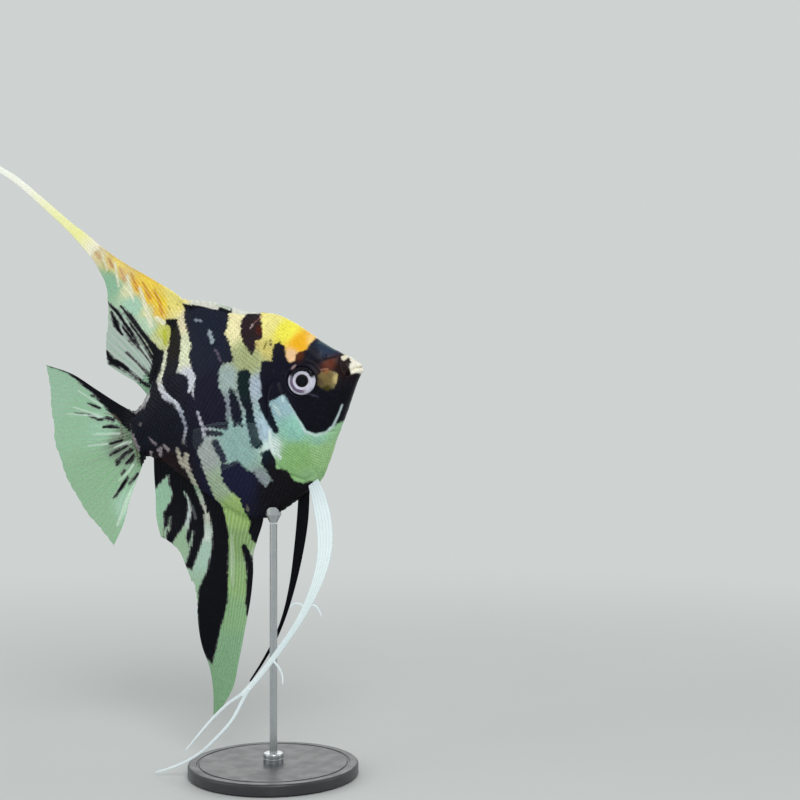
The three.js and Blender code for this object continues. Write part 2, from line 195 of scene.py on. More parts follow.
def from_step(s: Array, h: Array, start: Sequence[float], end: Sequence[float]) -> tuple[Array, Array]:
    """The nearest place on a straight step of a line.

    Args:
        s: Places along the body.
        h: Heights.
        start: Where the step starts.
        end: Where it ends.

    Returns:
        How far along the step that place is, 0 to 1, and its distance.
    """
    ds, dh = end[0] - start[0], end[1] - start[1]
    t = np.clip(((s - start[0]) * ds + (h - start[1]) * dh) / max(ds * ds + dh * dh, 1e-9), 0, 1)
    return t, np.hypot(s - start[0] - t * ds, h - start[1] - t * dh)


def to_line(s: Array, h: Array, line: Pairs) -> Array:
    """The distance from each point to a line of [s, h] points."""
    return np.minimum.reduce([from_step(s, h, *step)[1] for step in zip(line, line[1:])])


def into(s: Array, h: Array, outline: Pairs) -> Array:
    """The distance from each point to an outline, negative outside it.

    Args:
        s: Places along the body.
        h: Heights.
        outline: [s, h] points, of which the last is joined to the first.

    Returns:
        Distances in mm.
    """
    inside = np.zeros(s.shape, bool)
    for (s0, h0), (s1, h1) in zip(outline, outline[1:] + outline[:1]):
        if h0 != h1:
            inside ^= ((h0 > h) != (h1 > h)) & (s < (s1 - s0) * (h - h0) / (h1 - h0) + s0)
    away = to_line(s, h, outline + outline[:1])
    return np.where(inside, away, -away)


# ---- the fish's form ----
@dataclass(frozen=True)
class Body:
    """The body as curves of s: its back, belly, half width, and how sharp its edges are.

    Attributes:
        length: From the snout tip to the root of the tail fin.
        overrun: How far the rounded tail stalk runs past that root.
        tail_sway: Sideways bend of the middle plane at the tail root.
        sway_from: Where along the body the bend begins.
        snout_round: The length over which the snout closes.
        stalk_round: The length over which the stalk's end closes.
    """

    length: float = 80
    overrun: float = 2
    tail_sway: float = -2
    sway_from: float = 42
    snout_round: float = 2.6
    stalk_round: float = 2.4
    top: Along = Along((
        (0, 1.6), (3, 4.2), (6.5, 7.4), (10.5, 11.3), (16.5, 18.2), (22, 23.4), (27, 25.8),
        (33, 26.9), (38, 29.2), (43, 31.8), (48, 33.9), (52.5, 34.8), (57, 32.2), (63, 25.6),
        (69, 17.6), (74, 11), (78, 7.8), (82, 7.2)))
    bottom: Along = Along((
        (0, -1.8), (2.4, -3.6), (5, -7), (10, -14), (14, -19), (18, -25), (22.5, -30.4),
        (28, -33), (36, -36), (43, -37.4), (49, -36), (56, -30.6), (63, -23.8), (69, -17),
        (74, -11), (78, -8), (82, -7.4)))
    half_width: Along = Along((
        (0, 1.7), (3, 2.9), (8, 4.6), (14, 6.1), (20, 7.1), (28, 8), (36, 8.1), (46, 7.3),
        (56, 5.7), (66, 4), (74, 2.9), (82, 2.2)))
    keel: Along = Along(((0, 0.8), (14, 0.95), (26, 1.2), (60, 1.3), (82, 1)))

    def sway(self, s: Array) -> Array:
        """The middle plane's sideways place, which runs on straight behind the tail root."""
        bend = np.maximum(np.asarray(s, float) - self.sway_from, 0) / (self.length - self.sway_from)
        return self.tail_sway * np.where(bend < 1, bend**2, 2 * bend - 1)


@dataclass(frozen=True)
class EyeForm:
    """Where an eye sits, the radius of its disc and how far it looks forwards, in radians."""

    s: float = 18.4
    h: float = 0.6
    y: float = 5.2
    radius: float = 4.5
    turn: float = math.radians(9)

    def away(self, s: Array, h: Array) -> Array:
        """How far each point lies from the eye's middle, seen from the side."""
        return np.hypot(s - self.s, h - self.h)


BODY = Body()
EYE = EyeForm()
PITCH = math.radians(15.5)
COS, SIN = math.cos(PITCH), math.sin(PITCH)


class Side(Enum):
    """The fish's two sides."""

    RIGHT = "right"
    LEFT = "left"

    @property
    def sign(self) -> int:
        """Which way y points on this side."""
        return -1 if self is Side.RIGHT else 1


@dataclass(frozen=True)
class FishFrame:
    """The fish's axes in the shared frame, from the snout tip's x and height in mm."""

    snout_x: float
    snout_z: float

    @classmethod
    def by_eyes(cls) -> "FishFrame":
        """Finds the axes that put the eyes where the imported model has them.

        Returns:
            The axes.
        """
        corners = np.array([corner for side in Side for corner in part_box(f"eye_{side.value}")])
        x, _, z = (corners.min(0) + corners.max(0)) / 2 / MM
        return cls(x + COS * EYE.s + SIN * EYE.h, z + SIN * EYE.s - COS * EYE.h)

    def place(self, s: Array, h: Array, y: Array) -> Array:
        """Points of the fish in the shared frame.

        Args:
            s: Places along the body, in mm.
            h: Heights, in mm.
            y: Distances to the left, in mm.

        Returns:
            One row of x, y, z for each point, in metres.
        """
        x = self.snout_x - COS * s - SIN * h
        z = self.snout_z - SIN * s + COS * h
        return np.stack(np.broadcast_arrays(x, y, z), -1) * MM

    def read(self, points: Array) -> tuple[Array, Array]:
        """The s and h, in mm, of points of the shared frame in metres."""
        x, z = points[:, 0] / MM - self.snout_x, points[:, 2] / MM - self.snout_z
        return -COS * x - SIN * z, -SIN * x + COS * z


FISH = FishFrame.by_eyes()


# ---- meshes ----
def vertex_array(mesh: Mesh, name: str = "co") -> Array:
    """A mesh's coordinates or normals.

    Args:
        mesh: The mesh.
        name: "co" or "normal".

    Returns:
        One row a vertex.
    """
    values = np.empty(len(mesh.vertices) * 3, np.float32)
    mesh.vertices.foreach_get(name, values)
    return values.reshape(-1, 3).astype(float)


def move_vertices(mesh: Mesh, places: Array) -> None:
    """Puts every vertex at its row of places."""
    mesh.vertices.foreach_set("co", places.astype(np.float32).ravel())
    mesh.update()


def meshed(bm: bmesh.types.BMesh, name: str) -> Mesh:
    """Makes a mesh of a bmesh.

    Args:
        bm: The bmesh, which is freed.
        name: The mesh's name.

    Returns:
        The mesh.
    """
    mesh = bpy.data.meshes.new(name)
    bm.to_mesh(mesh)
    bm.free()
    return mesh


def face_outwards(mesh: Mesh) -> None:
    """Turns every face outwards and shades it smooth.

    Args:
        mesh: A closed mesh.
    """
    bm = bmesh.new()
    bm.from_mesh(mesh)
    bmesh.ops.recalc_face_normals(bm, faces=bm.faces)
    bm.to_mesh(mesh)
    bm.free()
    mesh.shade_smooth()


def plate(columns: int, rows: int, name: str) -> tuple[Mesh, Array, Array, Array]:
    """A closed plate to be moulded.

    Args:
        columns: Grid steps across.
        rows: Grid steps along.
        name: The mesh's name.

    Returns:
        The mesh, and for each vertex the shares across and along and -1 or 1 for its two faces.
    """
    bm = bmesh.new()
    for z in (-1, 1):
        made = bmesh.ops.create_grid(bm, x_segments=columns, y_segments=rows, size=1)
        bmesh.ops.translate(bm, verts=made["verts"], vec=(0, 0, z))
    bmesh.ops.bridge_loops(bm, edges=[e for e in bm.edges if e.is_boundary])
    bmesh.ops.recalc_face_normals(bm, faces=bm.faces)
    mesh = meshed(bm, name)
    flat = vertex_array(mesh)
    return mesh, (flat[:, 0] + 1) / 2, (flat[:, 1] + 1) / 2, flat[:, 2]


def spun(name: str, profile: Pairs, steps: int) -> Mesh:
    """A closed shape spun about +Z.

    Args:
        name: The mesh's name.
        profile: [radius, height] points in mm that start and end on the axis, or meet.
        steps: Faces round it.

    Returns:
        The mesh, in mm.
    """
    bm = bmesh.new()
    corners = [bm.verts.new((radius, 0, height)) for radius, height in profile]
    edges = [bm.edges.new(pair) for pair in zip(corners, corners[1:])]
    bmesh.ops.spin(bm, geom=corners + edges, axis=(0, 0, 1), cent=(0, 0, 0), angle=2 * math.pi,
                   steps=steps, use_merge=True)
    bmesh.ops.remove_doubles(bm, verts=bm.verts, dist=1e-4)
    return meshed(bm, name)


def store(mesh: Mesh, **layers: Array) -> None:
    """Keeps a number, or a colour, for each vertex in named attributes.

    Args:
        mesh: The mesh.
        layers: Numbers, or rows of red, green and blue.
    """
    for name, values in layers.items():
        tinted = values.ndim == 2
        layer = mesh.attributes.new(name, "FLOAT_COLOR" if tinted else "FLOAT", "POINT")
        if tinted:
            values = np.pad(values[:, :3], ((0, 0), (0, 1)), constant_values=1)
        layer.data.foreach_set("color" if tinted else "value", values.astype(np.float32).ravel())


def corners_of(mesh: Mesh) -> Array:
    """Which vertex each face corner uses.

    Args:
        mesh: The mesh.

    Returns:
        One number a corner.
    """
    corner = np.empty(len(mesh.loops), np.int32)
    mesh.loops.foreach_get("vertex_index", corner)
    return corner


def map_corners(mesh: Mesh, u: Array, v: Array) -> None:
    """Writes the OFBake map from each corner's place across and up it."""
    layer = mesh.uv_layers.new(name="OFBake")
    layer.data.foreach_set("uv", np.stack([u, v], -1).astype(np.float32).ravel())


def unwrap(mesh: Mesh, u: Array, v: Array, side: Array) -> None:
    """Writes the OFBake map, with the right side in its left half and the left side in its right half.

    Args:
        mesh: The mesh to unwrap.
        u: Each vertex's place across one half, 0 to 1.
        v: Each vertex's place up the map, 0 to 1.
        side: Each vertex's side: negative for the right.
    """
    corner = corners_of(mesh)
    start = np.empty(len(mesh.polygons), np.int32)
    mesh.polygons.foreach_get("loop_start", start)
    total = np.add.reduceat(side[corner], start)
    half = np.repeat(total > 0, np.diff(np.append(start, len(corner))))
    map_corners(mesh, across_half(half, u[corner]), up_map(v[corner]))


def across_half(left: Array | bool, share: Array) -> Array:
    """The place across the whole map of a share of one side's half."""
    return 0.5 * left + 0.01 + 0.48 * share


def up_map(share: Array) -> Array:
    """The place up the map, clear of its edges."""
    return 0.01 + 0.98 * share


def piece(mesh: Mesh, material: Material, nodes: Sequence[str] = ()) -> None:
    """Shows a mesh as a piece of the fish or its stand, riding on the model's one body.

    Args:
        mesh: The finished mesh, in the shared frame.
        material: What it is made of.
        nodes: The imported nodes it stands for.
    """
    made = bpy.data.objects.new(mesh.name, mesh)
    mesh.materials.append(material)
    bpy.context.scene.collection.objects.link(made)
    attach(made, "root")
    if nodes:
        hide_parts(*nodes)
    LOG.info("%s: %d faces", mesh.name, len(mesh.polygons))


# ---- markings, painted highlights and sheen ----
class Tone(Enum):
    """Whether a mark is drawn in the dark or left pale."""

    DARK = "dark"
    PALE = "pale"


@dataclass(frozen=True)
class Mark:
    """A mark: an outline of [s, h] points, or a line of [s, h, half width] points."""

    name: str
    tone: Tone
    points: Pairs

    def near(self, s: Array, h: Array, margin: float) -> Array:
        """Which points lie in the mark's box, widened by a margin in mm."""
        (s0, s1), (h0, h1) = ((min(c) - margin, max(c) + margin) for c in list(zip(*self.points))[:2])
        return (s > s0) & (s < s1) & (h > h0) & (h < h1)

    def depth(self, s: Array, h: Array) -> Array:
        """How far inside the mark each point lies.

        Args:
            s: Places along the body.
            h: Heights.

        Returns:
            Depths in mm, negative outside.
        """
        if len(self.points[0]) == 2:
            return into(s, h, self.points)
        depths = []
        for start, end in zip(self.points, self.points[1:]):
            t, away = from_step(s, h, start, end)
            depths.append(start[2] + (end[2] - start[2]) * t - away)
        return np.maximum.reduce(depths)


@dataclass(frozen=True)
class Streak(Mark):
    """A thin line of its own colour over whatever lies beneath, which it hides by its cover."""

    colour: Colour = (255, 255, 255)
    cover: float = 1

    def lay_over(self, colours: Array, s: Array, h: Array) -> None:
        """Mixes the streak into colours.

        Args:
            colours: One row for each point.
            s: The points' places along the body.
            h: Their heights.
        """
        near = self.near(s, h, 2)
        share = self.cover * smooth(-0.3, 0.12, self.depth(s[near], h[near]))
        colours[near, :3] += (linear(self.colour) - colours[near, :3]) * share[:, None]


@dataclass(frozen=True)
class Tint:
    """A colour that spreads softly round a place: where, how far in mm, and how much a fin hides there."""

    name: str
    s: float
    h: float
    reach: float
    colour: Colour
    opacity: float = 1


MARK_REACH = 5  # depths past this many mm count as this many


def darkness(drawn: Sequence[Mark], s: Array, h: Array) -> Array:
    """Draws the marks one over another.

    Args:
        drawn: In the order they are drawn.
        s: Places along the body.
        h: Heights.

    Returns:
        How far each point lies inside the dark, in mm, negative in the pale.
    """
    dark = np.full(s.shape, -float(MARK_REACH))
    for mark in drawn:
        near = mark.near(s, h, MARK_REACH + 3)
        depth = np.clip(mark.depth(s[near], h[near]), -MARK_REACH, MARK_REACH)
        if mark.tone is Tone.DARK:
            dark[near] = np.maximum(dark[near], depth)
        else:
            dark[near] = np.minimum(dark[near], -depth)
    return dark


def blended(spread: Sequence[Tint], s: Array, h: Array) -> Array:
    """The tints' colours at each point.

    Args:
        spread: The tints.
        s: Places along the body.
        h: Heights.

    Returns:
        Rows of linear red, green, blue and opacity.
    """
    total, weights = np.zeros((len(s), 4)), np.zeros(len(s))
    for tint in spread:
        apart = ((s - tint.s) ** 2 + (h - tint.h) ** 2) / tint.reach**2
        weight = 1 / (apart + 0.12) ** 2.2
        total += weight[:, None] * np.append(linear(tint.colour), tint.opacity)
        weights += weight
    return total / weights[:, None]


def marks(name: str, tone: Tone, *lines: Pairs) -> tuple[Mark, ...]:
    """A mark for each line of points."""
    return tuple(Mark(name, tone, line) for line in lines)


def streaks(name: str, colour: Colour, cover: float, *lines: Pairs) -> tuple[Streak, ...]:
    """A streak for each line of points."""
    return tuple(Streak(name, Tone.PALE, line, colour, cover) for line in lines)


def tints(**groups: Pairs) -> tuple[Tint, ...]:
    """Tints from rows of place, height, reach, red, green, blue and, on a fin, opacity."""
    return tuple(Tint(name, *row[:3], row[3:6], *row[6:]) for name in groups for row in groups[name])


D, P = Tone.DARK, Tone.PALE
BODY_MARKS = (
    Mark("mask", D, (
        (12, 13), (8, 9.5), (4, 5.5), (2.5, 2.5), (3, -1), (0.5, -2), (2, -6), (6, -11.5), (9, -14.3),
        (12, -14.8), (15, -16.4), (18.7, -16.4), (21.2, -14.8), (22.1, -11.1), (23.8, -5.3), (24.6, -2),
        (29.5, -3), (32, -2), (31, 7), (29.5, 10), (26, 9.5), (25.2, 12.6), (24.2, 14.2), (22.4, 14.5),
        (21.3, 13), (21.3, 8.2), (20.6, 7), (19, 7.5), (18.4, 9), (16.6, 9.8), (15, 9.5))),
    Mark("gill notch", D, ((31.5, -2, 1.7), (31.5, -6, 1.7), (31, -9, 1.5), (30, -12, 1))),
    Mark("nape bar", D, (
        (33.5, 27), (28, 26), (27.5, 21.5), (28, 17.5), (30, 17), (31, 14), (32.2, 13.2), (33.5, 15.5),
        (34.5, 18), (35, 21), (34.5, 24.5))),
    Mark("main bar", D, (
        (54, 36.5), (37.5, 30.5), (38.5, 26.5), (39.5, 22), (38.5, 17), (38.5, 12.5), (43, 13),
        (44.5, 10.5), (45.5, 6), (44, 1.5), (45.5, -7), (49, -9), (54.5, -7.5), (55, -2), (56, 4),
        (53, 12.5), (55, 17), (52.5, 22), (53.5, 29))),
    Mark("wedge", D, ((41.5, 4, 0.8), (41.5, -2, 2), (42, -7, 1.7))),
    Mark("green bar", D, (
        (36, 7.5, 2.2), (37.5, 2.5, 2.2), (37.5, -4, 2), (37.5, -10, 1.7), (37.5, -14, 2))),
    Mark("belly", D, (
        (52, -17), (46, -17.5), (43.5, -21.5), (40.5, -23.5), (39.5, -28), (36.5, -26.5), (38, -21),
        (37, -17.5), (34, -17), (33.5, -21), (34, -23.5), (31, -25), (30, -28.5), (27, -30.5),
        (23.5, -32.5), (23.5, -34), (31.5, -34.5), (40.5, -37.5), (46.5, -40), (50, -37.5), (50, -30.5),
        (53, -28), (54.5, -23.5))),
    Mark("belly front", D, ((28.5, -30), (25, -30), (23, -32.5), (27, -34), (30, -33))),
    Mark("lower fleck", D, ((52, -10.5, 1.3), (51, -14.5, 1.3), (50.5, -18.5, 1.3))),
    Mark("rear bars", D, (
        (68, 26), (61, 33.5), (57, 32.5), (55.5, 26), (57, 21), (59.5, 15), (56, 13), (55.5, 5), (55, -5.5),
        (56, -9.5), (58.5, -11.5), (57.5, -20.5), (57, -30), (66, -31), (74.5, -30.5), (80, -15.5),
        (81.5, -9), (79.5, -4), (81, 1.5), (82, 9.5), (78.5, 6.5), (75, 7.5), (72, 10.5), (71, 16))),
    Mark("yellow strip", P, (
        (62.5, 30, 2.3), (62.8, 25, 1.6), (62.9, 23.3, 0.7), (63.7, 20.5, 0.8), (65.1, 17.5, 0.7),
        (67.2, 14.5, 0.9), (67, 12, 1), (65.7, 8.9, 1.1), (63.1, 6.5, 0.8), (61.5, 3.7, 0.7), (61, -1, 0.6),
        (61, -3, 0.5), (63.5, -7.5, 0.3))),
    Mark("cream strip", P, (
        (55.5, 34, 1), (54, 27.5, 1), (54, 23, 1.2), (55.5, 19, 1.3), (55.5, 15.5, 1.7), (54.5, 12, 1),
        (56.5, 8, 0.4))),
    Mark("cream fork", P, ((56, 18.5, 1), (59, 15.5, 0.5))),
    Mark("white band", P, (
        (55.5, -3), (55.5, -6), (56, -8.5), (58, -10), (59.5, -11.5), (59, -14), (59.5, -17.5), (59, -20.5),
        (59, -23.5), (59, -27), (58.5, -30), (57.5, -34.5), (58, -38), (51, -39.5), (50, -37), (50, -34),
        (50.5, -31), (49.5, -29.5), (52, -26.5), (53.5, -23.5), (53.5, -20.5), (53, -17), (53, -14),
        (53.5, -11.5), (54, -9), (54.5, -6), (54.8, -3))),
    Mark("white band thread", P, ((55.3, 1, 0.3), (55, -4, 0.5))),
    *marks("blush line", P,
        ((66.3, -9, 0.7), (66.5, -11.6, 0.8), (65.9, -14.1, 1)), ((63.6, -11.3, 0.8), (64.8, -13.4, 1),
        (64.8, -16.4, 0.9), (64.5, -19.2, 0.9), (64.6, -25.3, 0.9), (64.2, -28.3, 0.8),
        (64.2, -30.3, 0.4))),
    Mark("band bridge", P, ((54.5, -5, 0.3), (47.5, -7.5, 0.3))),
    Mark("collar", P, (
        (38.5, 29), (35.5, 27.5), (34.7, 24.7), (35.3, 20.5), (35, 16.8), (33.8, 14), (32.3, 12.5), (32, 9),
        (38, 9.3), (38.8, 14), (39, 19), (40, 22.2), (38.8, 25))),
    Mark("blue line", P, (
        (32, 11.5, 0.8), (33, 5.5, 0.6), (32.7, 1.5, 0.5), (34.5, -1, 0.6), (35, -5.5, 0.7), (35, -10, 0.9),
        (34.5, -14.5, 1.4), (33, -17, 1))),
    Mark("teal head", P, ((43.5, 11), (38, 11.5), (39.5, 5), (42.5, 4.5), (44.5, 5.5))),
    Mark("teal tail", P, ((43.5, 5.5, 0.9), (44, 0.5, 0.4), (45.5, -4.5, 0.3))),
    Mark("second tail", P, ((40, 5, 0.5), (39.5, 0.5, 0.3), (39, -3.5, 0.5), (40, -8.5, 0.7))),
    Mark("teal patch", P, (
        (45, -8), (42.5, -7), (40, -9), (40, -13.5), (39, -17), (38.4, -19.5), (40.5, -22), (43.5, -20),
        (45, -17.5), (48, -16.4), (47, -14), (48.4, -12))),
    Mark("teal hook", P, ((40.6, -21.5, 1.1), (40.5, -25, 0.6), (39, -27.5, 0.4))),
    Mark("nape fleck", D, ((25.4, 14.4, 0.4), (25.4, 15.7, 0.2))),
    Mark("upper lip spot", P, ((3.6, 4.9, 0.9), (4.4, 4.1, 0.7))),
    Mark("lips", P, ((-0.5, 1.2, 2.1), (1.6, 0.8, 1.7), (2.2, -0.4, 1.1))),
    Mark("cheek window", P, (
        (13.6, -1.7), (12.9, 0.6), (11.6, 1.7), (9.8, 1.9), (8.1, 0.9), (7.2, -0.3), (8, -3), (9.4, -4.2),
        (11.4, -4.6), (12.8, -3.4))),
    *marks("star spike", P,
        ((48.3, -7.1, 0.4), (45.8, -11, 0.6)), ((50.1, -12.2, 0.4), (46.4, -14.1, 0.6)),
        ((50.4, -17.4, 0.4), (45.9, -16.9, 0.6))),
    *marks("stalk speck", P,
        ((72.6, -7.3, 1), (72.8, -8.4, 0.8)), ((70.6, -6.2, 0.4), (69.7, -8.1, 0.5)), ((76.2, -6.7, 0.4),
        (76.7, -7.9, 0.4)), ((75.2, -2.2, 0.1), (73.5, -5, 0.2)), ((77, 2.5, 0.3), (77.2, 2.4, 0.3))),
)
FIN_MARKS = (
    Mark("dorsal root", D, ((67, 24, 1.7), (68.5, 20, 1.7), (70.5, 15.5, 1.7))),
    Mark("dorsal wedge", D, ((68.5, 26.5, 1), (67, 22.5, 1.3))),
    *marks("dorsal streak", D,
        ((79, 44.5, 0.4), (76.5, 40.5, 0.8), (75.5, 37, 0.7), (74, 32.5, 0.8), (72.5, 28, 0.4)),
        ((78.5, 41, 0.5), (78, 36.5, 1.1), (77, 33, 0.4)), ((75, 42, 0.3), (73, 38, 0.9), (71.5, 34, 0.9),
        (69.5, 29.5, 0.8), (67.5, 25.5, 1)), ((76, 35, 0.5), (74.5, 30.5, 0.7), (72.5, 26.5, 0.3),
        (70, 21.5, 0.3)), ((73.5, 35.5, 0.5), (71, 29, 0.5), (69, 23, 0.7))),
    Mark("dorsal patch", D, (
        (83.5, 28.5, 0.9), (82.5, 25.5, 1.3), (79.5, 23, 1.1), (77.5, 20, 0.5), (74.5, 16, 0.5),
        (72, 14, 0.7))),
    Mark("dorsal fringe", D, ((77, 27, 0.3), (74.5, 23, 0.4), (71.5, 17.5, 0.5))),
    Mark("tail upper edge", D, (
        (105.5, 31.5, 0.3), (102.5, 29.5, 0.5), (97.5, 26.5, 1), (93.5, 21.5, 1.4), (90.5, 18, 1.8),
        (87.5, 13.5, 2.2), (84, 8.5, 2.9), (80, 4.5, 3.6))),
    Mark("tail root", D, ((79, 3, 2.3), (79, -2.5, 2), (79, -7.5, 1.7))),
    *marks("tail streak", D,
        ((92.3, 16.6, 0.3), (90.4, 15.3, 0.3)), ((94.2, 14.3, 0.3), (92.5, 12.9, 0.4), (91, 11.8, 0.4)),
        ((99.2, 12.4, 0.1), (95.8, 11.3, 0.2)), ((95.2, 11, 0.3), (93.7, 9.7, 0.6), (92.8, 8.9, 0.3)),
        ((92.3, 8.3, 0.3), (89.4, 8, 0.5), (86.9, 6.6, 0.5)), ((90.8, 5.3, 0.3), (88.7, 5.1, 0.6),
        (86.1, 4, 0.4)), ((89.5, -0.6, 0.4), (85.9, -0.6, 0.5)), ((90.7, -3.9, 0.3), (88.5, -3.5, 0.5),
        (84.7, -2.8, 0.4)), ((89.4, -7.3, 0.7), (88.1, -6.4, 0.5), (85.3, -5, 0.5), (83.3, -4.5, 0.5)),
        ((86.1, -8.2, 0.5), (84.1, -7.3, 0.7), (83.1, -6.3, 0.4)), ((89, -11.1, 0.3), (87.7, -10.1, 0.4)),
        ((93.7, -18, 0.2), (91.6, -16.8, 0.4), (89.3, -14.9, 0.8), (87, -13, 0.5)), ((86.8, -15.2, 0.3),
        (85.1, -13.8, 0.5), (83.6, -12.5, 0.4))),
    Mark("anal front lobe", D, (
        (49, -33.5), (43, -32.5), (44.5, -37.5), (48, -42), (49.5, -44.5), (51, -43), (51.5, -40),
        (49.5, -36.5))),
    Mark("anal front line", D, (
        (54.5, -44.5, 0.9), (54, -48, 1.3), (54.5, -52.5, 1.1), (56, -58, 1.1), (57.5, -62, 0.9),
        (58.5, -65.5, 0.3))),
    Mark("black lobe", D, (
        (63.5, -25.5), (59, -25), (58, -31.5), (58.7, -39.5), (61.8, -50.5), (64, -59.5), (68, -67),
        (71.5, -74), (74, -78), (75.5, -75), (75.5, -68.5), (74, -60.5), (72, -54), (68, -48.5), (65, -42),
        (63.5, -36), (63, -30))),
    Mark("anal root", D, (
        (78.5, -10), (72.5, -9), (64, -9.5), (61.5, -17), (60.5, -27), (63.5, -30.5), (69, -28),
        (71.5, -32), (76, -38.5), (80.5, -39.5), (78.5, -29.5), (77, -15.5))),
    Mark("anal rear lobe", D, (
        (74.5, -31), (70, -29), (65, -30), (66.5, -37.5), (69.5, -42), (73, -47.5), (75, -45.5),
        (72, -40.5), (73, -36), (75.5, -34.5))),
    Mark("olive lobe", P, (
        (65, 35), (62, 33.5), (61.5, 30), (61.8, 24.5), (63.5, 23.5), (66, 25), (68, 30))),
    Mark("blush tail", P, (
        (65.5, -16, 1), (64.8, -22, 0.9), (64.4, -27, 0.8), (64.2, -31.6, 0.4), (64.6, -34.2, 0.7),
        (65.1, -36.7, 0.8), (66.3, -39.4, 0.9), (67.7, -42, 1.1), (69.2, -44.3, 1.5), (71.5, -50, 1.5))),
    Mark("rear pale ray", P, (
        (69.8, -22.2, 0.2), (69.1, -25.1, 0.4), (69.6, -28.3, 0.6), (70.8, -31.3, 0.7), (72.1, -33.6, 0.9),
        (74.2, -36.1, 1.4), (75.9, -38.7, 1.8), (78.4, -41.4, 2))),
    Mark("rear window", P, (
        (73.5, -15.5), (76, -16.5), (79, -18.5), (82, -22.5), (81, -28), (79, -28), (77, -25.5),
        (75, -23.5), (74, -21), (74.5, -18.5))),
    *marks("rear thread", P,
        ((78.2, -32.1, 0.4), (78.7, -33.6, 0.5), (79.2, -35.2, 0.3)), ((70.1, -35.5, 0.3),
        (71.8, -39.4, 0.4)), ((76.5, -29, 0.2), (77.5, -33, 0.3))),
)
PALE_TINTS = tints(
    nape=(
        (25.5, 22, 3, 255, 246, 150), (20, 17.5, 2.7, 255, 246, 84), (16.5, 12.5, 2.7, 250, 182, 30),
        (12.5, 12.5, 2, 255, 212, 124), (19.5, 9.5, 1.7, 245, 200, 150), (27, 14, 1.5, 222, 208, 120)),
    collar=((37, 24.5, 2.7, 255, 246, 186), (30, 15.9, 1, 214, 196, 118), (34, 12, 3, 172, 182, 130)),
    grey_patch=((41.5, 8.5, 2.3, 166, 186, 182), (43.5, 0, 1.7, 140, 150, 160)),
    blue_line=((33, 3.5, 2, 176, 192, 206), (34.5, -11, 2, 184, 210, 226)),
    teal_patch=((44.5, -13.5, 3, 152, 192, 186), (40, -25.5, 1.7, 144, 154, 160)),
    gill_cover=(
        (25.5, -5, 2.7, 156, 190, 200), (24, -13.5, 3, 148, 206, 188), (32.5, -16.5, 1.7, 226, 246, 240)),
    breast=((25.5, -22, 4, 142, 192, 122), (19, -23, 3.4, 160, 204, 140), (25, -28.5, 2.3, 146, 190, 134)),
    cheek=(
        # painted highlight: the bright tint at the cheek window's front edge (7.9, -1.6); the window is
        # darker towards its rear
        (18.5, -18, 2, 150, 202, 172), (10.4, -0.7, 1.4, 114, 98, 58), (7.9, -1.6, 0.8, 184, 166, 110),
        (13, -1.3, 1, 86, 74, 50), (11.4, -4, 0.8, 60, 54, 18), (10.2, 1.5, 0.7, 138, 92, 58)),
    white_band=(
        (55.5, -3.5, 1.3, 190, 190, 205), (56, -13.5, 2.3, 172, 180, 176),
        (54.5, -23.5, 2.7, 166, 188, 158), (52.5, -32, 3, 172, 206, 126)),
    blush=((65.5, -12.5, 2, 176, 172, 156), (64.5, -24, 2, 182, 184, 162)),
    strips=(
        (63.5, 29, 2, 214, 214, 120), (64, 20, 1.7, 232, 236, 206), (63.5, 7, 2, 206, 210, 220),
        (61, 0, 2, 150, 156, 172), (55, 31.5, 1.7, 240, 230, 190), (54.5, 20.5, 2, 240, 246, 206),
        (55.5, 12, 1.7, 216, 220, 230)),
    lips=((4, 4.5, 1.3, 244, 240, 214), (1, 1, 2, 250, 246, 226)),
    stalk=((73.5, -6.5, 3.4, 140, 130, 136),),
)
DARK_TINTS = tints(
    head=(
        # painted reflection: the first head tint, the blue over the black forehead
        (9, 8.8, 1.8, 42, 56, 78), (13, 7.6, 1.6, 12, 12, 28), (17.3, 8.8, 0.8, 84, 40, 14),
        (8.8, 3.5, 1.1, 98, 46, 26), (10, -1, 1.3, 58, 44, 30), (5, 1.5, 1.6, 32, 16, 14),
        (14, -8.5, 4.7, 8, 9, 20), (27.5, 2, 4, 12, 12, 30)),
    nape=((32, 19.5, 2.7, 42, 28, 32), (28.7, 20.2, 1.1, 78, 26, 8)),
    bars=(
        # painted sheen: the first two bar tints are navy black with a bluish sheen
        (47.5, 20.5, 4.7, 24, 30, 48), (50.5, 3.5, 4.7, 22, 20, 42), (37, 4.5, 2.3, 10, 34, 34),
        (38, -13, 2.3, 10, 44, 50)),
    belly=((47.5, -24, 4, 24, 26, 56), (35.5, -31, 4.7, 14, 10, 14)),
    stalk=((69.5, 3.5, 5.4, 10, 14, 26),),
    rear=((59, 24, 2.7, 26, 22, 14), (72.5, -14, 2.7, 30, 12, 12)),
)
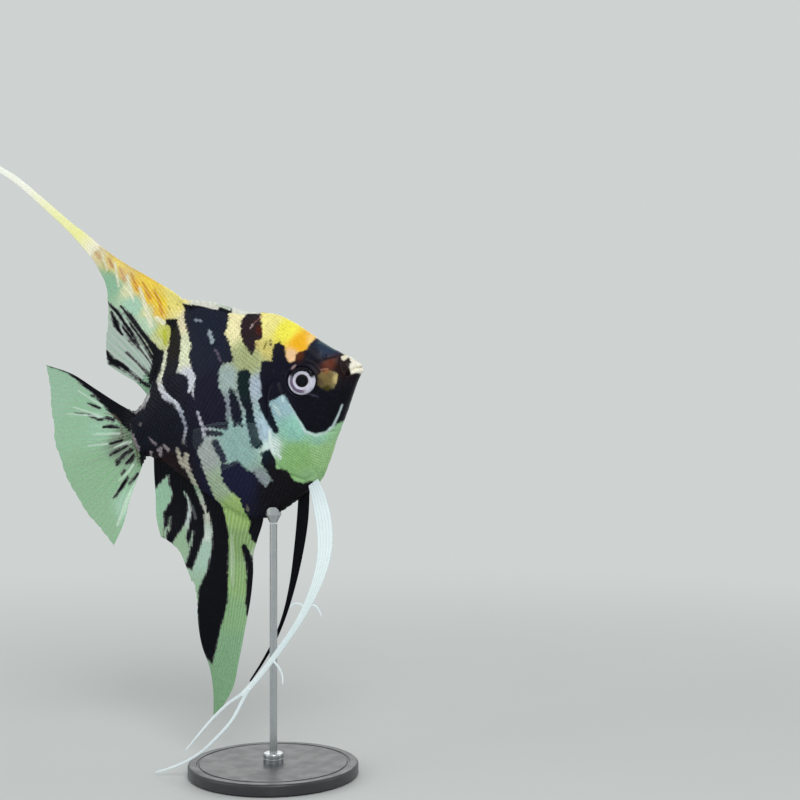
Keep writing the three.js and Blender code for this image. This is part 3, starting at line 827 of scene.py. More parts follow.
BODY_STREAKS = (
    *streaks("mask hem", (205, 226, 226), 0.85,
        ((23.9, -5.3, 0.12), (22.3, -11.2, 0.2), (21.3, -15.1, 0.28), (18.7, -16.8, 0.26),
        (15.7, -16.8, 0.22), (13.3, -15.5, 0.22), (10.7, -12.6, 0.16), (8.6, -9.8, 0.08))),
    # a lighter line along the chin's lower contour
    *streaks("throat contour line", (110, 140, 120), 0.45,
        ((2.2, -4.2, 0.05), (5, -8, 0.2), (10, -14.8, 0.25), (14, -19.6, 0.1))),
    # painted highlights: the bar gleam streaks
    *streaks("bar gleam", (150, 160, 175), 0.8, ((50, 30, 0.3), (47.9, 29.1, 0.3))),
    *streaks("bar gleam low", (170, 185, 195), 0.85, ((45.4, 24.8, 0.5), (44.7, 21.2, 0.6))),
    *streaks("bar gleam foot", (110, 100, 120), 0.7, ((44.1, 18.1, 0.3), (43, 14.4, 0.35))),
    # painted highlight: the nape gleam
    *streaks("nape gleam", (214, 190, 190), 0.8, ((31.5, 21.8, 0.1), (30.9, 22.5, 0.3))),
    *streaks("nape blush", (180, 130, 122), 0.6, ((30, 23, 0.1), (28.9, 23.8, 0.15), (27.8, 24.4, 0.3))),
    *streaks("olive fleck", (112, 102, 24), 0.75, ((27.6, 14, 0.3), (26.8, 15.8, 0.2))),
    *streaks("brow fleck", (180, 150, 156), 0.7, ((20.5, 5, 0.1), (19.8, 5.4, 0.35), (19.1, 5.8, 0.2))),
    *streaks("brow shadow", (8, 2, 12), 0.85,
        ((17, 5.6, 0.1), (12.9, 5.1, 0.5), (8.9, 5.3, 0.4), (6.5, 5.2, 0.1))),
    # painted highlight: the crest gleam
    *streaks("crest gleam", (84, 112, 112), 0.4, ((11.5, 11.2, 0.1), (9, 9.6, 0.3), (6.8, 7.2, 0.1))),
    # painted highlights: the gill gleam streaks
    *streaks("gill gleam", (206, 230, 236), 0.6, ((25.3, -2.3, 0.2), (25.4, -3.9, 0.4))),
    *streaks("gill gleam", (210, 236, 230), 0.6, ((28.8, -4, 0.2), (27.9, -5.5, 0.6), (27.4, -7.6, 0.4))),
    # painted highlight: a cream line along the cheek window's front edge
    *streaks("cheek edge highlight", (204, 186, 126), 0.7, ((7.5, -0.5, 0.1), (7.8, -1.6, 0.25), (8.2, -2.9, 0.1))),
    # painted highlight: a pink streak above the cheek window
    *streaks("cheek pink highlight", (186, 128, 100), 0.6, ((11.6, 2.3, 0.1), (10.6, 2.2, 0.2), (9.6, 2, 0.1))),
    *streaks("under eye", (92, 88, 108), 0.4, ((17.1, -3.9, 0.1), (15.8, -4.8, 0.25), (14.5, -5.5, 0.05))),
    *streaks("stalk hem", (126, 134, 138), 0.75,
        ((70.6, 14.8, 0.1), (74, 10.5, 0.2), (77.6, 7.5, 0.25), (80.8, 6.7, 0.2))),
    *streaks("stalk thread", (90, 90, 112), 0.6, ((62.7, -5.6, 0.1), (62.6, -8.6, 0.1))),
    *streaks("stalk thread", (92, 88, 84), 0.6, ((69.4, -17, 0.3), (69.3, -18.7, 0.1))),
    *streaks("front fleck", (132, 126, 112), 0.7, ((48.1, -32.1, 0.3), (48.6, -34, 0.3))),
    *streaks("white strip", (226, 246, 240), 0.85,
        ((32.5, -11.7, 0.4), (32.8, -14.8, 0.5), (32, -17.6, 0.5), (31.4, -20.7, 0.4))),
)
FIN_STREAKS = (
    *streaks("front line", (206, 150, 60), 0.35, ((77.4, 63.4, 0.2), (68.6, 53.6, 0.25), (60, 45.2, 0.2))),
    *streaks("brown ray", (216, 162, 110), 0.75,
        ((78.5, 61.8, 0.3), (77.5, 59.4, 0.3)), ((74.8, 58.3, 0.3), (74.3, 55.4, 0.5)), ((71.9, 54.3, 0.3),
        (71.5, 50.1, 0.6))),
    *streaks("orange ray", (216, 150, 36), 0.8,
        ((68.5, 51.2, 0.3), (68, 45.6, 0.6)), ((65.3, 47.2, 0.4), (64.7, 42.2, 0.7)), ((62.2, 43.9, 0.3),
        (61.9, 39.4, 0.6), (62.1, 36, 0.5))),
    *streaks("cream ray", (246, 245, 212), 0.85,
        ((76.8, 59.9, 0.3), (76.4, 55, 0.4)), ((73.2, 56.1, 0.4), (74.1, 48.8, 0.3)), ((70.2, 51, 0.5),
        (70.6, 45.3, 0.5), (70.7, 42.3, 0.1)), ((67.1, 46, 0.4), (67.1, 39.2, 0.7), (66.9, 33.3, 0.8)),
        ((64.2, 34.9, 0.7), (62.3, 32.7, 0.7))),
    *streaks("olive speck", (160, 150, 40), 0.7,
        ((59.2, 37.5, 0.2), (59.1, 36.5, 0.2)), ((56.3, 37.3, 0.1), (56, 36.9, 0.1))),
    *streaks("olive core", (190, 196, 30), 0.8, ((62.6, 30, 0.6), (63.1, 26.1, 0.7))),
    *streaks("spiny hem", (240, 240, 228), 0.95, ((50.3, 36.2, 0.6), (46.5, 34.2, 0.6), (42.7, 31.9, 0.6))),
    *streaks("spiny hem", (214, 224, 210), 0.95, ((41.7, 32.8, 0.4), (38.4, 30.3, 0.4))),
    *streaks("spiny hem", (240, 242, 232), 0.95,
        ((37.2, 30.6, 0.5), (33.9, 28.1, 0.55), (29.6, 26.7, 0.5))),
    *streaks("tail ray", (222, 244, 230), 0.65,
        ((99.4, 14.5, 0.1), (91.3, 9.2, 0.3)), ((96.5, 19.4, 0.1), (89.9, 12.3, 0.25)), ((102.1, 13, 0.1),
        (90.8, 8.9, 0.25)), ((94.9, 3.9, 0.1), (86, 1.8, 0.3)), ((97.4, 0.7, 0.1), (90.9, -0.3, 0.2)),
        ((88.8, -2.2, 0.1), (85.5, -1.7, 0.35), (82.6, -1.8, 0.35))),
    *streaks("tail edge ray", (206, 236, 210), 0.8,
        ((94.2, -27, 0.3), (88.8, -19.9, 0.9), (82.4, -13.2, 0.5)), ((90.3, -13.1, 0.1),
        (86.5, -11.1, 0.35), (84.2, -9.3, 0.35))),
    *streaks("tail shade", (92, 84, 66), 0.7,
        ((89.4, 9.7, 0.1), (86.5, 8.2, 0.3), (84.8, 5, 0.2)), ((84.9, 4, 0.3), (85.2, 0.7, 0.3)),
        ((80.5, 2.2, 0.2), (81.2, -3.4, 0.3), (82, -8.9, 0.3))),
    *streaks("tail long shade", (70, 132, 70), 0.6,
        ((103.3, -4.9, 0), (97.9, -4.8, 0.1), (93.1, -4.6, 0.2))),
    *streaks("anal streamer edge", (186, 208, 176), 0.6,
        ((57.6, -39.7, 0.2), (58.8, -44.5, 0.6), (60, -49.2, 0.6), (61.4, -55.5, 0.2))),
    *streaks("anal haze", (96, 102, 106), 0.6, ((68.3, -27.3, 0.3), (68.2, -31.3, 0.5))),
)
FIN_TINTS = tints(
    dorsal_tip=(
        (101.5, 97.5, 10.1, 244, 248, 236), (91.5, 82, 5.4, 248, 248, 232), (85.5, 73, 3, 244, 240, 150),
        (80.5, 65.5, 3, 246, 242, 214)),
    dorsal_front=(
        (71.5, 56.5, 2.3, 250, 226, 120), (63.5, 46.5, 2.7, 255, 220, 70), (56, 39, 2.7, 255, 240, 130)),
    dorsal_rays=(
        (78.5, 60.5, 1.2, 240, 222, 170, 0.9), (74.5, 56.5, 1.2, 244, 214, 140, 0.92),
        (71.5, 52, 1.5, 246, 212, 120, 0.92), (68, 47, 1.7, 252, 206, 60), (64.5, 42.5, 2, 252, 204, 40),
        (61.5, 39.5, 2, 255, 222, 50), (63, 36.5, 1.7, 240, 196, 50),
        (71.5, 46.5, 1.7, 236, 238, 190, 0.85), (67, 37.5, 1.7, 232, 232, 170, 0.9)),
    dorsal_rear=(
        (76.5, 50, 2.7, 112, 186, 134, 0.72), (71, 41, 2.3, 156, 216, 180, 0.66),
        (68.5, 34, 2.3, 188, 224, 188, 0.76), (63, 29.5, 2, 204, 206, 96),
        (66, 26.5, 2, 216, 222, 160, 0.92), (79, 31.5, 3.4, 112, 160, 128, 0.42),
        (75, 23, 3.4, 122, 168, 140, 0.46)),
    tail=(
        (105.5, 18.5, 5.4, 112, 186, 132, 0.62), (100, 10.5, 5.4, 112, 188, 128, 0.66),
        (92, 6.5, 4, 138, 198, 156, 0.74), (86, -1.5, 3.4, 104, 128, 100, 0.86),
        (98.5, -10.5, 5.4, 100, 180, 106, 0.66), (90, -21.5, 2.7, 160, 212, 178, 0.76),
        (100, -24, 4, 100, 178, 104, 0.64)),
    anal=(
        (53, -33, 2.7, 152, 188, 106), (56.5, -43, 2.3, 128, 165, 94, 0.96),
        (59, -54, 2.3, 140, 182, 108, 0.94), (63.5, -64.5, 2.3, 128, 178, 116, 0.9),
        (69.5, -78, 4, 106, 168, 108, 0.8), (51.5, -49.5, 1.3, 170, 190, 160, 0.6),
        (63.5, -30.5, 1.7, 190, 196, 180, 0.95), (66, -38, 1.5, 206, 220, 210, 0.92),
        (67, -42.5, 2.3, 150, 196, 172, 0.68), (70.5, -29.5, 2, 186, 204, 200, 0.75),
        (75.5, -37, 2.7, 104, 168, 96, 0.62), (78, -23, 2.7, 118, 186, 140, 0.72)),
    spiny_hem=((41.5, 32.5, 6.7, 238, 240, 226, 0.95),),
)


def drifted(s: Array, h: Array, side: Array) -> tuple[Array, Array]:
    """Where the left flank takes its markings from: the same bars, wandering by a millimetre or two.

    Args:
        s: Places along the body.
        h: Heights.
        side: Each place's side, negative for the right, which stays as it is.

    Returns:
        The places along the body and the heights to read the markings at.
    """
    top, bottom = BODY.top(s), BODY.bottom(s)
    rise = np.clip((2 * h - top - bottom) / (top - bottom), -1, 1)
    free = np.where(side > 0, (1 - rise**4) * smooth(24, 34, s) * (1 - smooth(72, 80, s)), 0)
    return s + free * (1.5 * np.sin(0.19 * h + 0.9) + 0.8), h + free * 1.8 * np.sin(0.16 * s + 2)


def coloured(colours: Array, laid: Sequence[Streak], s: Array, h: Array) -> Array:
    """Lays streaks over colours.

    Args:
        colours: One row for each point.
        laid: The streaks.
        s: The points' places along the body.
        h: Their heights.

    Returns:
        The colours.
    """
    for streak in laid:
        streak.lay_over(colours, s, h)
    return colours


FIN_BLACK = (5, 6, 13)


def paint_body(mesh: Mesh, s: Array, h: Array, side: Array) -> None:
    """Stores the body's markings on skin or scales.

    Args:
        mesh: The mesh.
        s: Each vertex's place along the body.
        h: Its height.
        side: Its side, negative for the right.
    """
    s, h = drifted(s, h, side)
    ground, shade = (coloured(blended(t, s, h), BODY_STREAKS, s, h) for t in (PALE_TINTS, DARK_TINTS))
    store(mesh, dark=darkness(BODY_MARKS, s, h), ground=ground, shade=shade)


def paint_fin(mesh: Mesh, s: Array, h: Array) -> None:
    """Stores a fin's markings.

    Args:
        mesh: The mesh.
        s: Each vertex's place along the body.
        h: Its height.
    """
    ground = blended(FIN_TINTS, s, h)
    opacity = ground[:, 3].copy()
    shade = coloured(np.tile(linear(FIN_BLACK), (len(s), 1)), FIN_STREAKS, s, h)
    store(mesh, dark=darkness(BODY_MARKS + FIN_MARKS, s, h), opacity=opacity, shade=shade,
          ground=coloured(ground, FIN_STREAKS, s, h))


# ---- finishes ----
SEEING_RAYS = ("Is Camera Ray", "Is Transmission Ray", "Is Glossy Ray")


class Nodes:
    """A node tree; each method adds a node and returns what it puts out."""

    def __init__(self, tree: bpy.types.NodeTree) -> None:
        """Takes the tree."""
        self.tree = tree

    def put(self, target: Socket, value: object) -> None:
        """Links a socket, or sets it to a plain value.

        Args:
            target: The socket.
            value: Another socket, a number, a vector, or a screen colour.
        """
        if isinstance(value, Socket):
            self.tree.links.new(value, target)
        elif target.type == "RGBA":
            target.default_value = (*linear(value), 1)
        else:
            target.default_value = value

    def node(self, kind: str, inputs: dict, output: int | str = 0, **options: str) -> Socket:
        """Adds a node.

        Args:
            kind: Its type, after "ShaderNode".
            inputs: What goes into its sockets, by name or number.
            output: The output that is wanted.
            options: The node's own settings.

        Returns:
            That output.
        """
        made = self.tree.nodes.new("ShaderNode" + kind)
        for name, value in options.items():
            setattr(made, name, value)
        for name, value in inputs.items():
            self.put(made.inputs[name], value)
        return made.outputs[output]

    def math(self, operation: str, *values: object) -> Socket:
        """A math node's result, such as math("MAXIMUM", a, 0.5)."""
        return self.node("Math", dict(enumerate(values)), operation=operation)

    def times(self, first: object, second: object) -> Socket:
        """Two values multiplied."""
        return self.math("MULTIPLY", first, second)

    def plus(self, first: object, second: object) -> Socket:
        """Two values added."""
        return self.math("ADD", first, second)

    def swung(self, value: object, reach: float) -> Socket:
        """A value from 0 to 1 spread over both sides of 0 by a reach."""
        return self.math("MULTIPLY_ADD", value, 2 * reach, -reach)

    def ranged(self, value: object, low: float, high: float, to_low: float = 0, to_high: float = 1) -> Socket:
        """Takes a value softly from one range to another and holds it at the ends."""
        numbers = dict(enumerate((value, low, high, to_low, to_high)))
        return self.node("MapRange", numbers, interpolation_type="SMOOTHSTEP")

    def mixed(self, factor: object, first: object, second: object, how: str = "MIX") -> Socket:
        """Two colours mixed by a factor."""
        return self.node("Mix", {0: factor, 6: first, 7: second}, 2, data_type="RGBA", blend_type=how)

    def viewed(self) -> Socket:
        """1 where the camera looks, straight, through glass or by reflection, and 0 for light itself."""
        rays = (self.node("LightPath", {}, ray) for ray in SEEING_RAYS)
        return functools.reduce(lambda one, other: self.math("MAXIMUM", one, other), rays)

    def blend_out(self, share: Socket, first: Socket, second: Socket) -> None:
        """Mixes two shaders by a share as what the tree puts out."""
        out = next(node for node in self.tree.nodes if node.type.startswith("OUTPUT"))
        self.put(out.inputs["Surface"], self.node("MixShader", {0: share, 1: first, 2: second}))


class Sheet(Nodes):
    """A material's node tree."""

    def __init__(self, name: str, **settings: object) -> None:
        """Starts a material.

        Args:
            name: The material's name.
            settings: Values for the shader's own sockets, such as Specular_IOR_Level=0.1.
        """
        self.material = bpy.data.materials.new(name)
        self.material.use_nodes = True
        super().__init__(self.material.node_tree)
        self.shader = self.tree.nodes["Principled BSDF"]
        self.object_place = self.node("TexCoord", {}, "Object")
        for socket, value in settings.items():
            self.set(socket.replace("_", " "), value)

    def attribute(self, name: str, output: str = "Fac") -> Socket:
        """A vertex attribute, as Fac or Color."""
        return self.node("Attribute", {}, output, attribute_name=name)

    def noise(self, size: float, detail: float = 2, stretch: Sequence[float] = (1, 1, 1)) -> Socket:
        """Soft noise, 0 to 1, whose lumps are about size mm across, stretched along the axes."""
        place = self.node("Mapping", {"Vector": self.object_place, "Scale": stretch})
        return self.node("TexNoise", {"Vector": place, "Scale": 1 / (size * MM), "Detail": detail})

    def cells(self, size: float) -> Socket:
        """The distance to the nearest of many scattered points about size mm apart."""
        return self.node("TexVoronoi", {"Vector": self.object_place, "Scale": 1 / (size * MM)})

    def brightened(self, colour: object, value: object) -> Socket:
        """A colour with its value multiplied."""
        return self.node("HueSaturation", {"Color": colour, "Value": value})

    def bump(self, height: object, depth: float, strength: float = 1) -> None:
        """Raises the surface by height, 0 to 1, times depth in mm."""
        raised = {"Strength": strength, "Distance": depth * MM, "Height": height}
        self.set("Normal", self.node("Bump", raised))

    def set(self, socket: str, value: object) -> None:
        """Links or sets one of the shader's sockets."""
        self.put(self.shader.inputs[socket], value)


@dataclass(frozen=True)
class KoiFinish:
    """Wet skin or scales: the pale ground and the dark, parted along a ragged line, with a painted bluish
    sheen mottled into the dark.

    Attributes:
        ragged: How far the line wanders, in mm.
        soft: How wide the line is, in mm.
        grain: The size of the fine relief, in mm.
        relief: Its depth, in mm.
        pearl: How strongly the pale ground changes colour from place to place.
        rim: How strongly each scale's free edge is painted with shade in the pale and with a bluish sheen in
            the dark.
        glint: How much the scales differ from one another, in brightness and in the painted sheen.
    """

    name: str
    ragged: float = 0.75
    soft: float = 0.42
    pale_roughness: float = 0.4
    dark_roughness: float = 0.34
    grain: float = 0.5
    relief: float = 0.05
    pearl: float = 0.2
    rim: float = 0
    glint: float = 0

    def make(self) -> Material:
        """Makes the material.

        Returns:
            The material.
        """
        sheet = Sheet(self.name, Coat_Weight=0.03, Coat_Roughness=0.16, Specular_IOR_Level=0.09,
                      Subsurface_Weight=0.05, Subsurface_Scale=MM, Subsurface_Radius=(1.0, 0.7, 0.5))
        wander = sheet.swung(sheet.noise(1.5, 3), self.ragged)
        fray = sheet.swung(sheet.noise(0.45), 0.3 * self.ragged)
        depth = sheet.plus(sheet.attribute("dark"), sheet.plus(wander, fray))
        dark = sheet.ranged(depth, -self.soft, self.soft)
        pearl = sheet.mixed(sheet.noise(2.2), (214, 232, 236), (244, 222, 214))
        ground = sheet.mixed(self.pearl, sheet.attribute("ground", "Color"), pearl, "SOFT_LIGHT")
        mottle = sheet.ranged(sheet.noise(0.8, 4), 0.3, 0.75, 0.93, 1.1)
        # painted sheen: a bluish reflection mottled into the dark colour by noise
        sheen = sheet.ranged(sheet.noise(1.1, 3), 0.5, 0.85, 0, 0.18)
        if self.glint:
            glint = sheet.attribute("glint")
            mottle = sheet.plus(mottle, sheet.times(glint, self.glint))
            sheen = sheet.times(sheen, sheet.ranged(glint, -0.4, 0.5, 0.2, 2.2))
        lit = sheet.brightened(ground, mottle)
        gloom = sheet.mixed(sheen, sheet.attribute("shade", "Color"), (48, 60, 88))
        coat = sheet.mixed(dark, lit, gloom)
        # painted shade along each scale's free edge in the pale, and a painted bluish sheen along it in the
        # dark
        if self.rim:
            edge = sheet.times(sheet.ranged(sheet.attribute("rim"), 0.6, 1), self.rim)
            coat = sheet.mixed(edge, coat, sheet.mixed(dark, sheet.brightened(lit, 0.62), (22, 27, 44)))
        sheet.set("Base Color", coat)
        wear = sheet.ranged(sheet.noise(0.6), 0.3, 0.7, -0.06, 0.06)
        rough = sheet.ranged(dark, 0, 1, self.pale_roughness, self.dark_roughness)
        sheet.set("Roughness", sheet.plus(rough, wear))
        cells = sheet.times(sheet.cells(self.grain * 1.4), 0.4)
        sheet.bump(sheet.plus(sheet.noise(self.grain, 3), cells), self.relief)
        return sheet.material


RAY_JOINT = 0.55  # mm from one joint of a ray to the next


@dataclass(frozen=True)
class FinFinish:
    """A fin's skin, clear between its rays and marked like the body.

    Attributes:
        ray_colour: What the rays lean to where the fin is pale.
        ray_tint: How far they lean.
        ray_lift: How much brighter they are than the skin between.
        ray_opacity: How much more of the background a ray hides than the skin between.
        ragged: How far the marks' edges wander, in mm.
        soft: How wide those edges are, in mm.
        grain: The depth of the fine relief, in mm.
        mottled: How unevenly pale the pale parts are.
    """

    name: str
    ray_colour: Colour = (236, 246, 236)
    ray_tint: float = 0.2
    ray_lift: float = 1.16
    ray_opacity: float = 0.7
    ragged: float = 0.5
    soft: float = 0.3
    grain: float = 0.018
    mottled: float = 0.1

    def make(self) -> Material:
        """Makes the material.

        Returns:
            The material.
        """
        sheet = Sheet(self.name, Roughness=0.42, Coat_Weight=0.03, Coat_Roughness=0.16,
                      Specular_IOR_Level=0.08)
        wander = sheet.swung(sheet.noise(1.1, 3), self.ragged)
        fray = sheet.swung(sheet.noise(0.35), 0.5 * self.ragged)
        ray = sheet.attribute("ray")
        edge = sheet.plus(sheet.attribute("dark"), sheet.times(ray, 0.35))
        depth = sheet.plus(edge, sheet.plus(wander, fray))
        dark = sheet.ranged(depth, -self.soft, self.soft)
        mottle = sheet.ranged(sheet.noise(0.7, 3), 0.3, 0.75, 1 - self.mottled, 1 + self.mottled)
        lift = sheet.ranged(ray, 0, 1, 1, self.ray_lift)
        plain = sheet.brightened(sheet.attribute("ground", "Color"), lift)
        ground = sheet.mixed(sheet.times(ray, self.ray_tint), plain, self.ray_colour)
        # painted sheen: a bluish reflection mottled into the fin's dark colour by noise
        sheen = sheet.ranged(sheet.noise(0.9), 0.5, 0.8, 0, 0.25)
        gloom = sheet.mixed(sheen, sheet.attribute("shade", "Color"), (28, 32, 48))
        sheet.set("Base Color", sheet.mixed(dark, sheet.brightened(ground, mottle), gloom))
        clear = sheet.attribute("opacity")
        left = sheet.math("SUBTRACT", 1.0, clear)
        firm = sheet.plus(clear, sheet.times(left, sheet.times(ray, self.ray_opacity)))
        shown = sheet.ranged(depth, -self.soft, 0.7, firm, 1)
        # Two faces lie one behind the other, so each hides less than the fin as a whole.
        through = sheet.math("POWER", sheet.math("SUBTRACT", 1.0, shown), 0.5)
        sheet.set("Alpha", sheet.math("SUBTRACT", 1.0, through))
        joints = sheet.math("SINE", sheet.times(sheet.attribute("run"), 2 * math.pi / RAY_JOINT))
        ringed = sheet.times(sheet.times(joints, ray), 0.4)
        sheet.bump(sheet.plus(ringed, sheet.noise(0.3)), self.grain)
        return sheet.material


SKIN_FINISH = KoiFinish("koi skin").make()
SCALE_FINISH = KoiFinish("koi scales", rim=0.3, relief=0.025, grain=0.3, glint=0.13, ragged=0.6).make()
FIN_FINISH = FinFinish("fin skin").make()
CLEAR_FINISH = FinFinish("clear fin skin", ray_opacity=0.07, ray_tint=0.1).make()
FILAMENT_FINISH = FinFinish("filament skin", grain=0.006, mottled=0.02, ray_tint=0.25).make()


# ---- skin ----
GILL_COVER = (
    (25.4, 2), (27.4, 2.4), (29, 1.4), (30.6, -2), (31.5, -7), (32.6, -11), (34, -14.4), (34.2, -18.4),
    (33, -22.6), (30.6, -26), (26.4, -29), (21.8, -27.2), (18, -21.8), (13.6, -17.2), (18.6, -17.2),
    (21.8, -14), (24, -8), (25, -3))
PREOPERCLE = ((23.4, 4), (24.3, -2), (23.6, -8), (21.6, -13.4), (18.4, -16.8), (13.6, -17))
PREOPERCLE_FRONT = ((-18, 14), (-14, 20.6), (-4, 22.6), (4, 23.4))
LATERAL_LINE = (
    (27, 7), (30.6, 11.6), (36, 16.4), (43, 20.4), (50, 22), (56, 20.4), (62, 15.4), (66, 10.4))
LIPS = ((-1, 0.0), (1.5, 0.0), (3.2, -0.4), (4.3, -1.2))
HEAD_PORES = (
    (7.2, 5), (11.6, 8.2), (14.6, 10), (6.6, 0.6), (9, -3.4), (12, -6.2), (15.6, -7.4), (20.4, -6.6),
    (11, -11.4), (14.4, -14.2), (18.6, -14.4), (21.4, -11), (22.6, -5.4), (23.4, 6.8), (26, 9.8))


@dataclass(frozen=True)
class Groove:
    """A groove in the skin, or a ridge where its depth is negative, with a raised fold beside it.

    Attributes:
        depth: In mm.
        width: How far it spreads.
        fold: How high the fold stands.
        off: How far the fold lies from the groove's middle.
        broad: How far the fold spreads.
    """

    depth: float
    width: float
    fold: float = 0
    off: float = 0
    broad: float = 1

    def rise(self, away: Array) -> Array:
        """How far the skin stands out at these distances from the groove's middle."""
        return self.fold * hump(away - self.off, self.broad) - self.depth * hump(away, self.width)


MOUTH_SLIT = Groove(0.55, 0.26, 0.34, 0.95, 0.55)
GILL_SLIT = Groove(0.5, 0.34)
COVER_HEM = Groove(0.1, 0.35)
CHEEK_SWELL = Groove(-0.12, 0.55)
EYE_FOLD = Groove(0.12, 0.35, 0.1, 0.6, 0.4)
EYE_RING = Groove(-0.26, 0.5)
NOSTRIL = Groove(0.5, 0.36, 0.14, 0.75, 0.3)
PORE = Groove(0.2, 0.22, 0.05, 0.45, 0.2)
THROAT_CREASE = Groove(0.06, 0.25)
CREASES = (
    (Groove(0.34, 0.3, 0.14, 0.8, 0.5), ((4.3, -1.2), (4.9, 0.8), (4.7, 2.8), (3.7, 5.2))),
    (Groove(0.2, 0.32, 0.1, 0.8, 0.5), ((4.3, -1.2), (6.4, -3.8), (7.9, -7), (9.4, -10.4))),
    (Groove(0.12, 0.25), ((24.6, -11.6), (28.4, -16.8), (32.6, -19.2))),
    (Groove(0.22, 0.3), PREOPERCLE),
    (Groove(-0.07, 0.45), LATERAL_LINE),
    *((THROAT_CREASE, ((19.6 + 1.5 * i, -23.4 - 1.5 * i), (26 + i, -26.6 - 1.2 * i), (31, -27)))
      for i in range(4)),
)


@dataclass
class Skin:
    """One skin over head, gill covers, jaws, trunk and tail stalk.

    Attributes:
        around: Faces round the body.
        inset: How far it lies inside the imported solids, to leave room for the scales.
        mouth_rings: Rings that close the snout.
        head_step: Ring spacing on the head.
        trunk_step: Ring spacing behind it.
        stalk_rings: Rings that close the stalk.
        head_end: Where the finer rings end.
        surface: The finished skin's points and normals, by side, ring and step.
        ring_s: Each ring's place along the body.
        ring_length: The length of each ring's half, in mm.
        travel: Each ring's place across one half of the map.
    """

    around: int = 304
    inset: float = 0.22
    mouth_rings: int = 26
    head_step: float = 0.2
    trunk_step: float = 0.42
    stalk_rings: int = 12
    head_end: float = 36
    nodes: tuple[str, ...] = (
        "head", "upper_lip", "lower_jaw", "gill_cover_right", "gill_cover_left", "trunk_front",
        "trunk_rear", "tail_stalk")
    surface: list[Array] = field(default_factory=list, init=False)
    ring_s: Array = field(init=False)
    ring_length: Array = field(init=False)
    travel: Array = field(init=False)

    def stations(self) -> tuple[Array, Array]:
        """Spaces the rings.

        Returns:
            Each ring's place along the body, and how far it is open, 0 to 1.
        """
        length = BODY.length + BODY.overrun
        closing = np.linspace(0, 1, self.mouth_rings)
        snout = BODY.snout_round * (1 - np.sqrt(1 - closing**2))
        head = np.arange(BODY.snout_round, self.head_end, self.head_step)[1:]
        trunk = np.arange(self.head_end, length - BODY.stalk_round, self.trunk_step)
        shut = closing[::-1][:: len(closing) // self.stalk_rings]
        stalk = length - BODY.stalk_round * (1 - np.sqrt(1 - shut**2))
        s = np.concatenate([snout, head, trunk, stalk])
        return s, np.concatenate([closing, np.ones(len(head) + len(trunk)), shut])

    def rings(self, s: Array, closed: Array) -> tuple[Array, Array, Array, Array]:
        """The body's rings, cut into equal lengths from belly to back.

        Args:
            s: Each ring's place.
            closed: How far each ring is open, 0 to 1.

        Returns:
            For each ring and step: place, height and half width; and each ring's length.
        """
        steps = self.around // 2
        angle = np.linspace(-math.pi / 2, math.pi / 2, 361)
        tall = (BODY.top(s) - BODY.bottom(s)) / 2 - self.inset
        wide = BODY.half_width(s) - self.inset
        rise = (tall * closed)[:, None] * np.sin(angle)
        half = (wide * closed)[:, None] * np.maximum(np.cos(angle), 0) ** BODY.keel(s)[:, None]
        run = np.hypot(np.diff(rise, axis=1), np.diff(half, axis=1))
        run = np.concatenate([np.zeros((len(s), 1)), np.cumsum(run, axis=1)], axis=1)
        even = np.linspace(0, 1, steps + 1)
        height, width = np.empty((len(s), steps + 1)), np.empty((len(s), steps + 1))
        for i, length in enumerate(run[:, -1]):
            share = run[i] / max(length, 1e-9)
            height[i] = np.interp(even, share, rise[i])
            width[i] = np.interp(even, share, half[i])
        middle = (BODY.top(s) + BODY.bottom(s)) / 2
        return np.repeat(s[:, None], steps + 1, 1), height + middle[:, None], width, run[:, -1]

    @staticmethod
    def open_mouth(s: Array, h: Array, y: Array, closed: Array) -> tuple[Array, Array, Array]:
        """Turns the rings nearest the snout tip inwards, as the lips' inner side.

        Args:
            s: Places.
            h: Heights.
            y: Half widths.
            closed: How far each ring is open.

        Returns:
            The new places, heights and half widths.
        """
        inside = np.clip(1 - closed / 0.5, 0, 1)[:, None] * np.ones_like(s)
        slit = 1 - 0.55 * smooth(0, 0.7, inside)
        middle = -0.1
        return s + 2.6 * inside**1.4, middle + (h - middle) * slit, y * (1 + 0.15 * inside)

    @staticmethod
    def relief(s: Array, h: Array) -> Array:
        """How far the skin stands out from the plain form, the same on both sides.

        Args:
            s: Places along the body.
            h: Heights.

        Returns:
            Heights of the relief in mm.
        """
        out = MOUTH_SLIT.rise(to_line(s, h, LIPS)) * (1 - smooth(3.4, 5, s))
        for crease, line in CREASES:
            out += crease.rise(to_line(s, h, line))
        cover = into(s, h, GILL_COVER)
        rear = smooth(21, 27, s)
        out += rear * (0.3 * smooth(-0.1, 0.9, cover) + GILL_SLIT.rise(cover + 0.42))
        out += rear * COVER_HEM.rise(cover - 1.5) * smooth(-24, -20, h)
        ahead = s < np.interp(h, *zip(*PREOPERCLE_FRONT))
        out += CHEEK_SWELL.rise(to_line(s, h, PREOPERCLE) - 0.8) * ahead
        out += EYE_FOLD.rise(EYE.away(s, h) - 5.8) + EYE_RING.rise(EYE.away(s, h) - 5)
        out += NOSTRIL.rise(np.hypot((s - 9.4) * 1.1, h - 6.4))
        for s0, h0 in HEAD_PORES:
            out += PORE.rise(np.hypot(s - s0, h - h0))
        waves = np.sin(0.9 * s + 0.4 * h) * np.sin(0.55 * h - 0.3 * s) + 0.6 * np.sin(1.7 * s - 1.1 * h)
        return out + 0.035 * waves * smooth(4, 9, s)

    @staticmethod
    def socket(s: Array, h: Array, y: Array) -> Array:
        """The half widths with the skin drawn in behind each eye."""
        shut = 1 - smooth(EYE.radius - 0.35, EYE.radius + 0.15, EYE.away(s, h))
        return y - (y - 4.6) * shut * (y > 4.6)

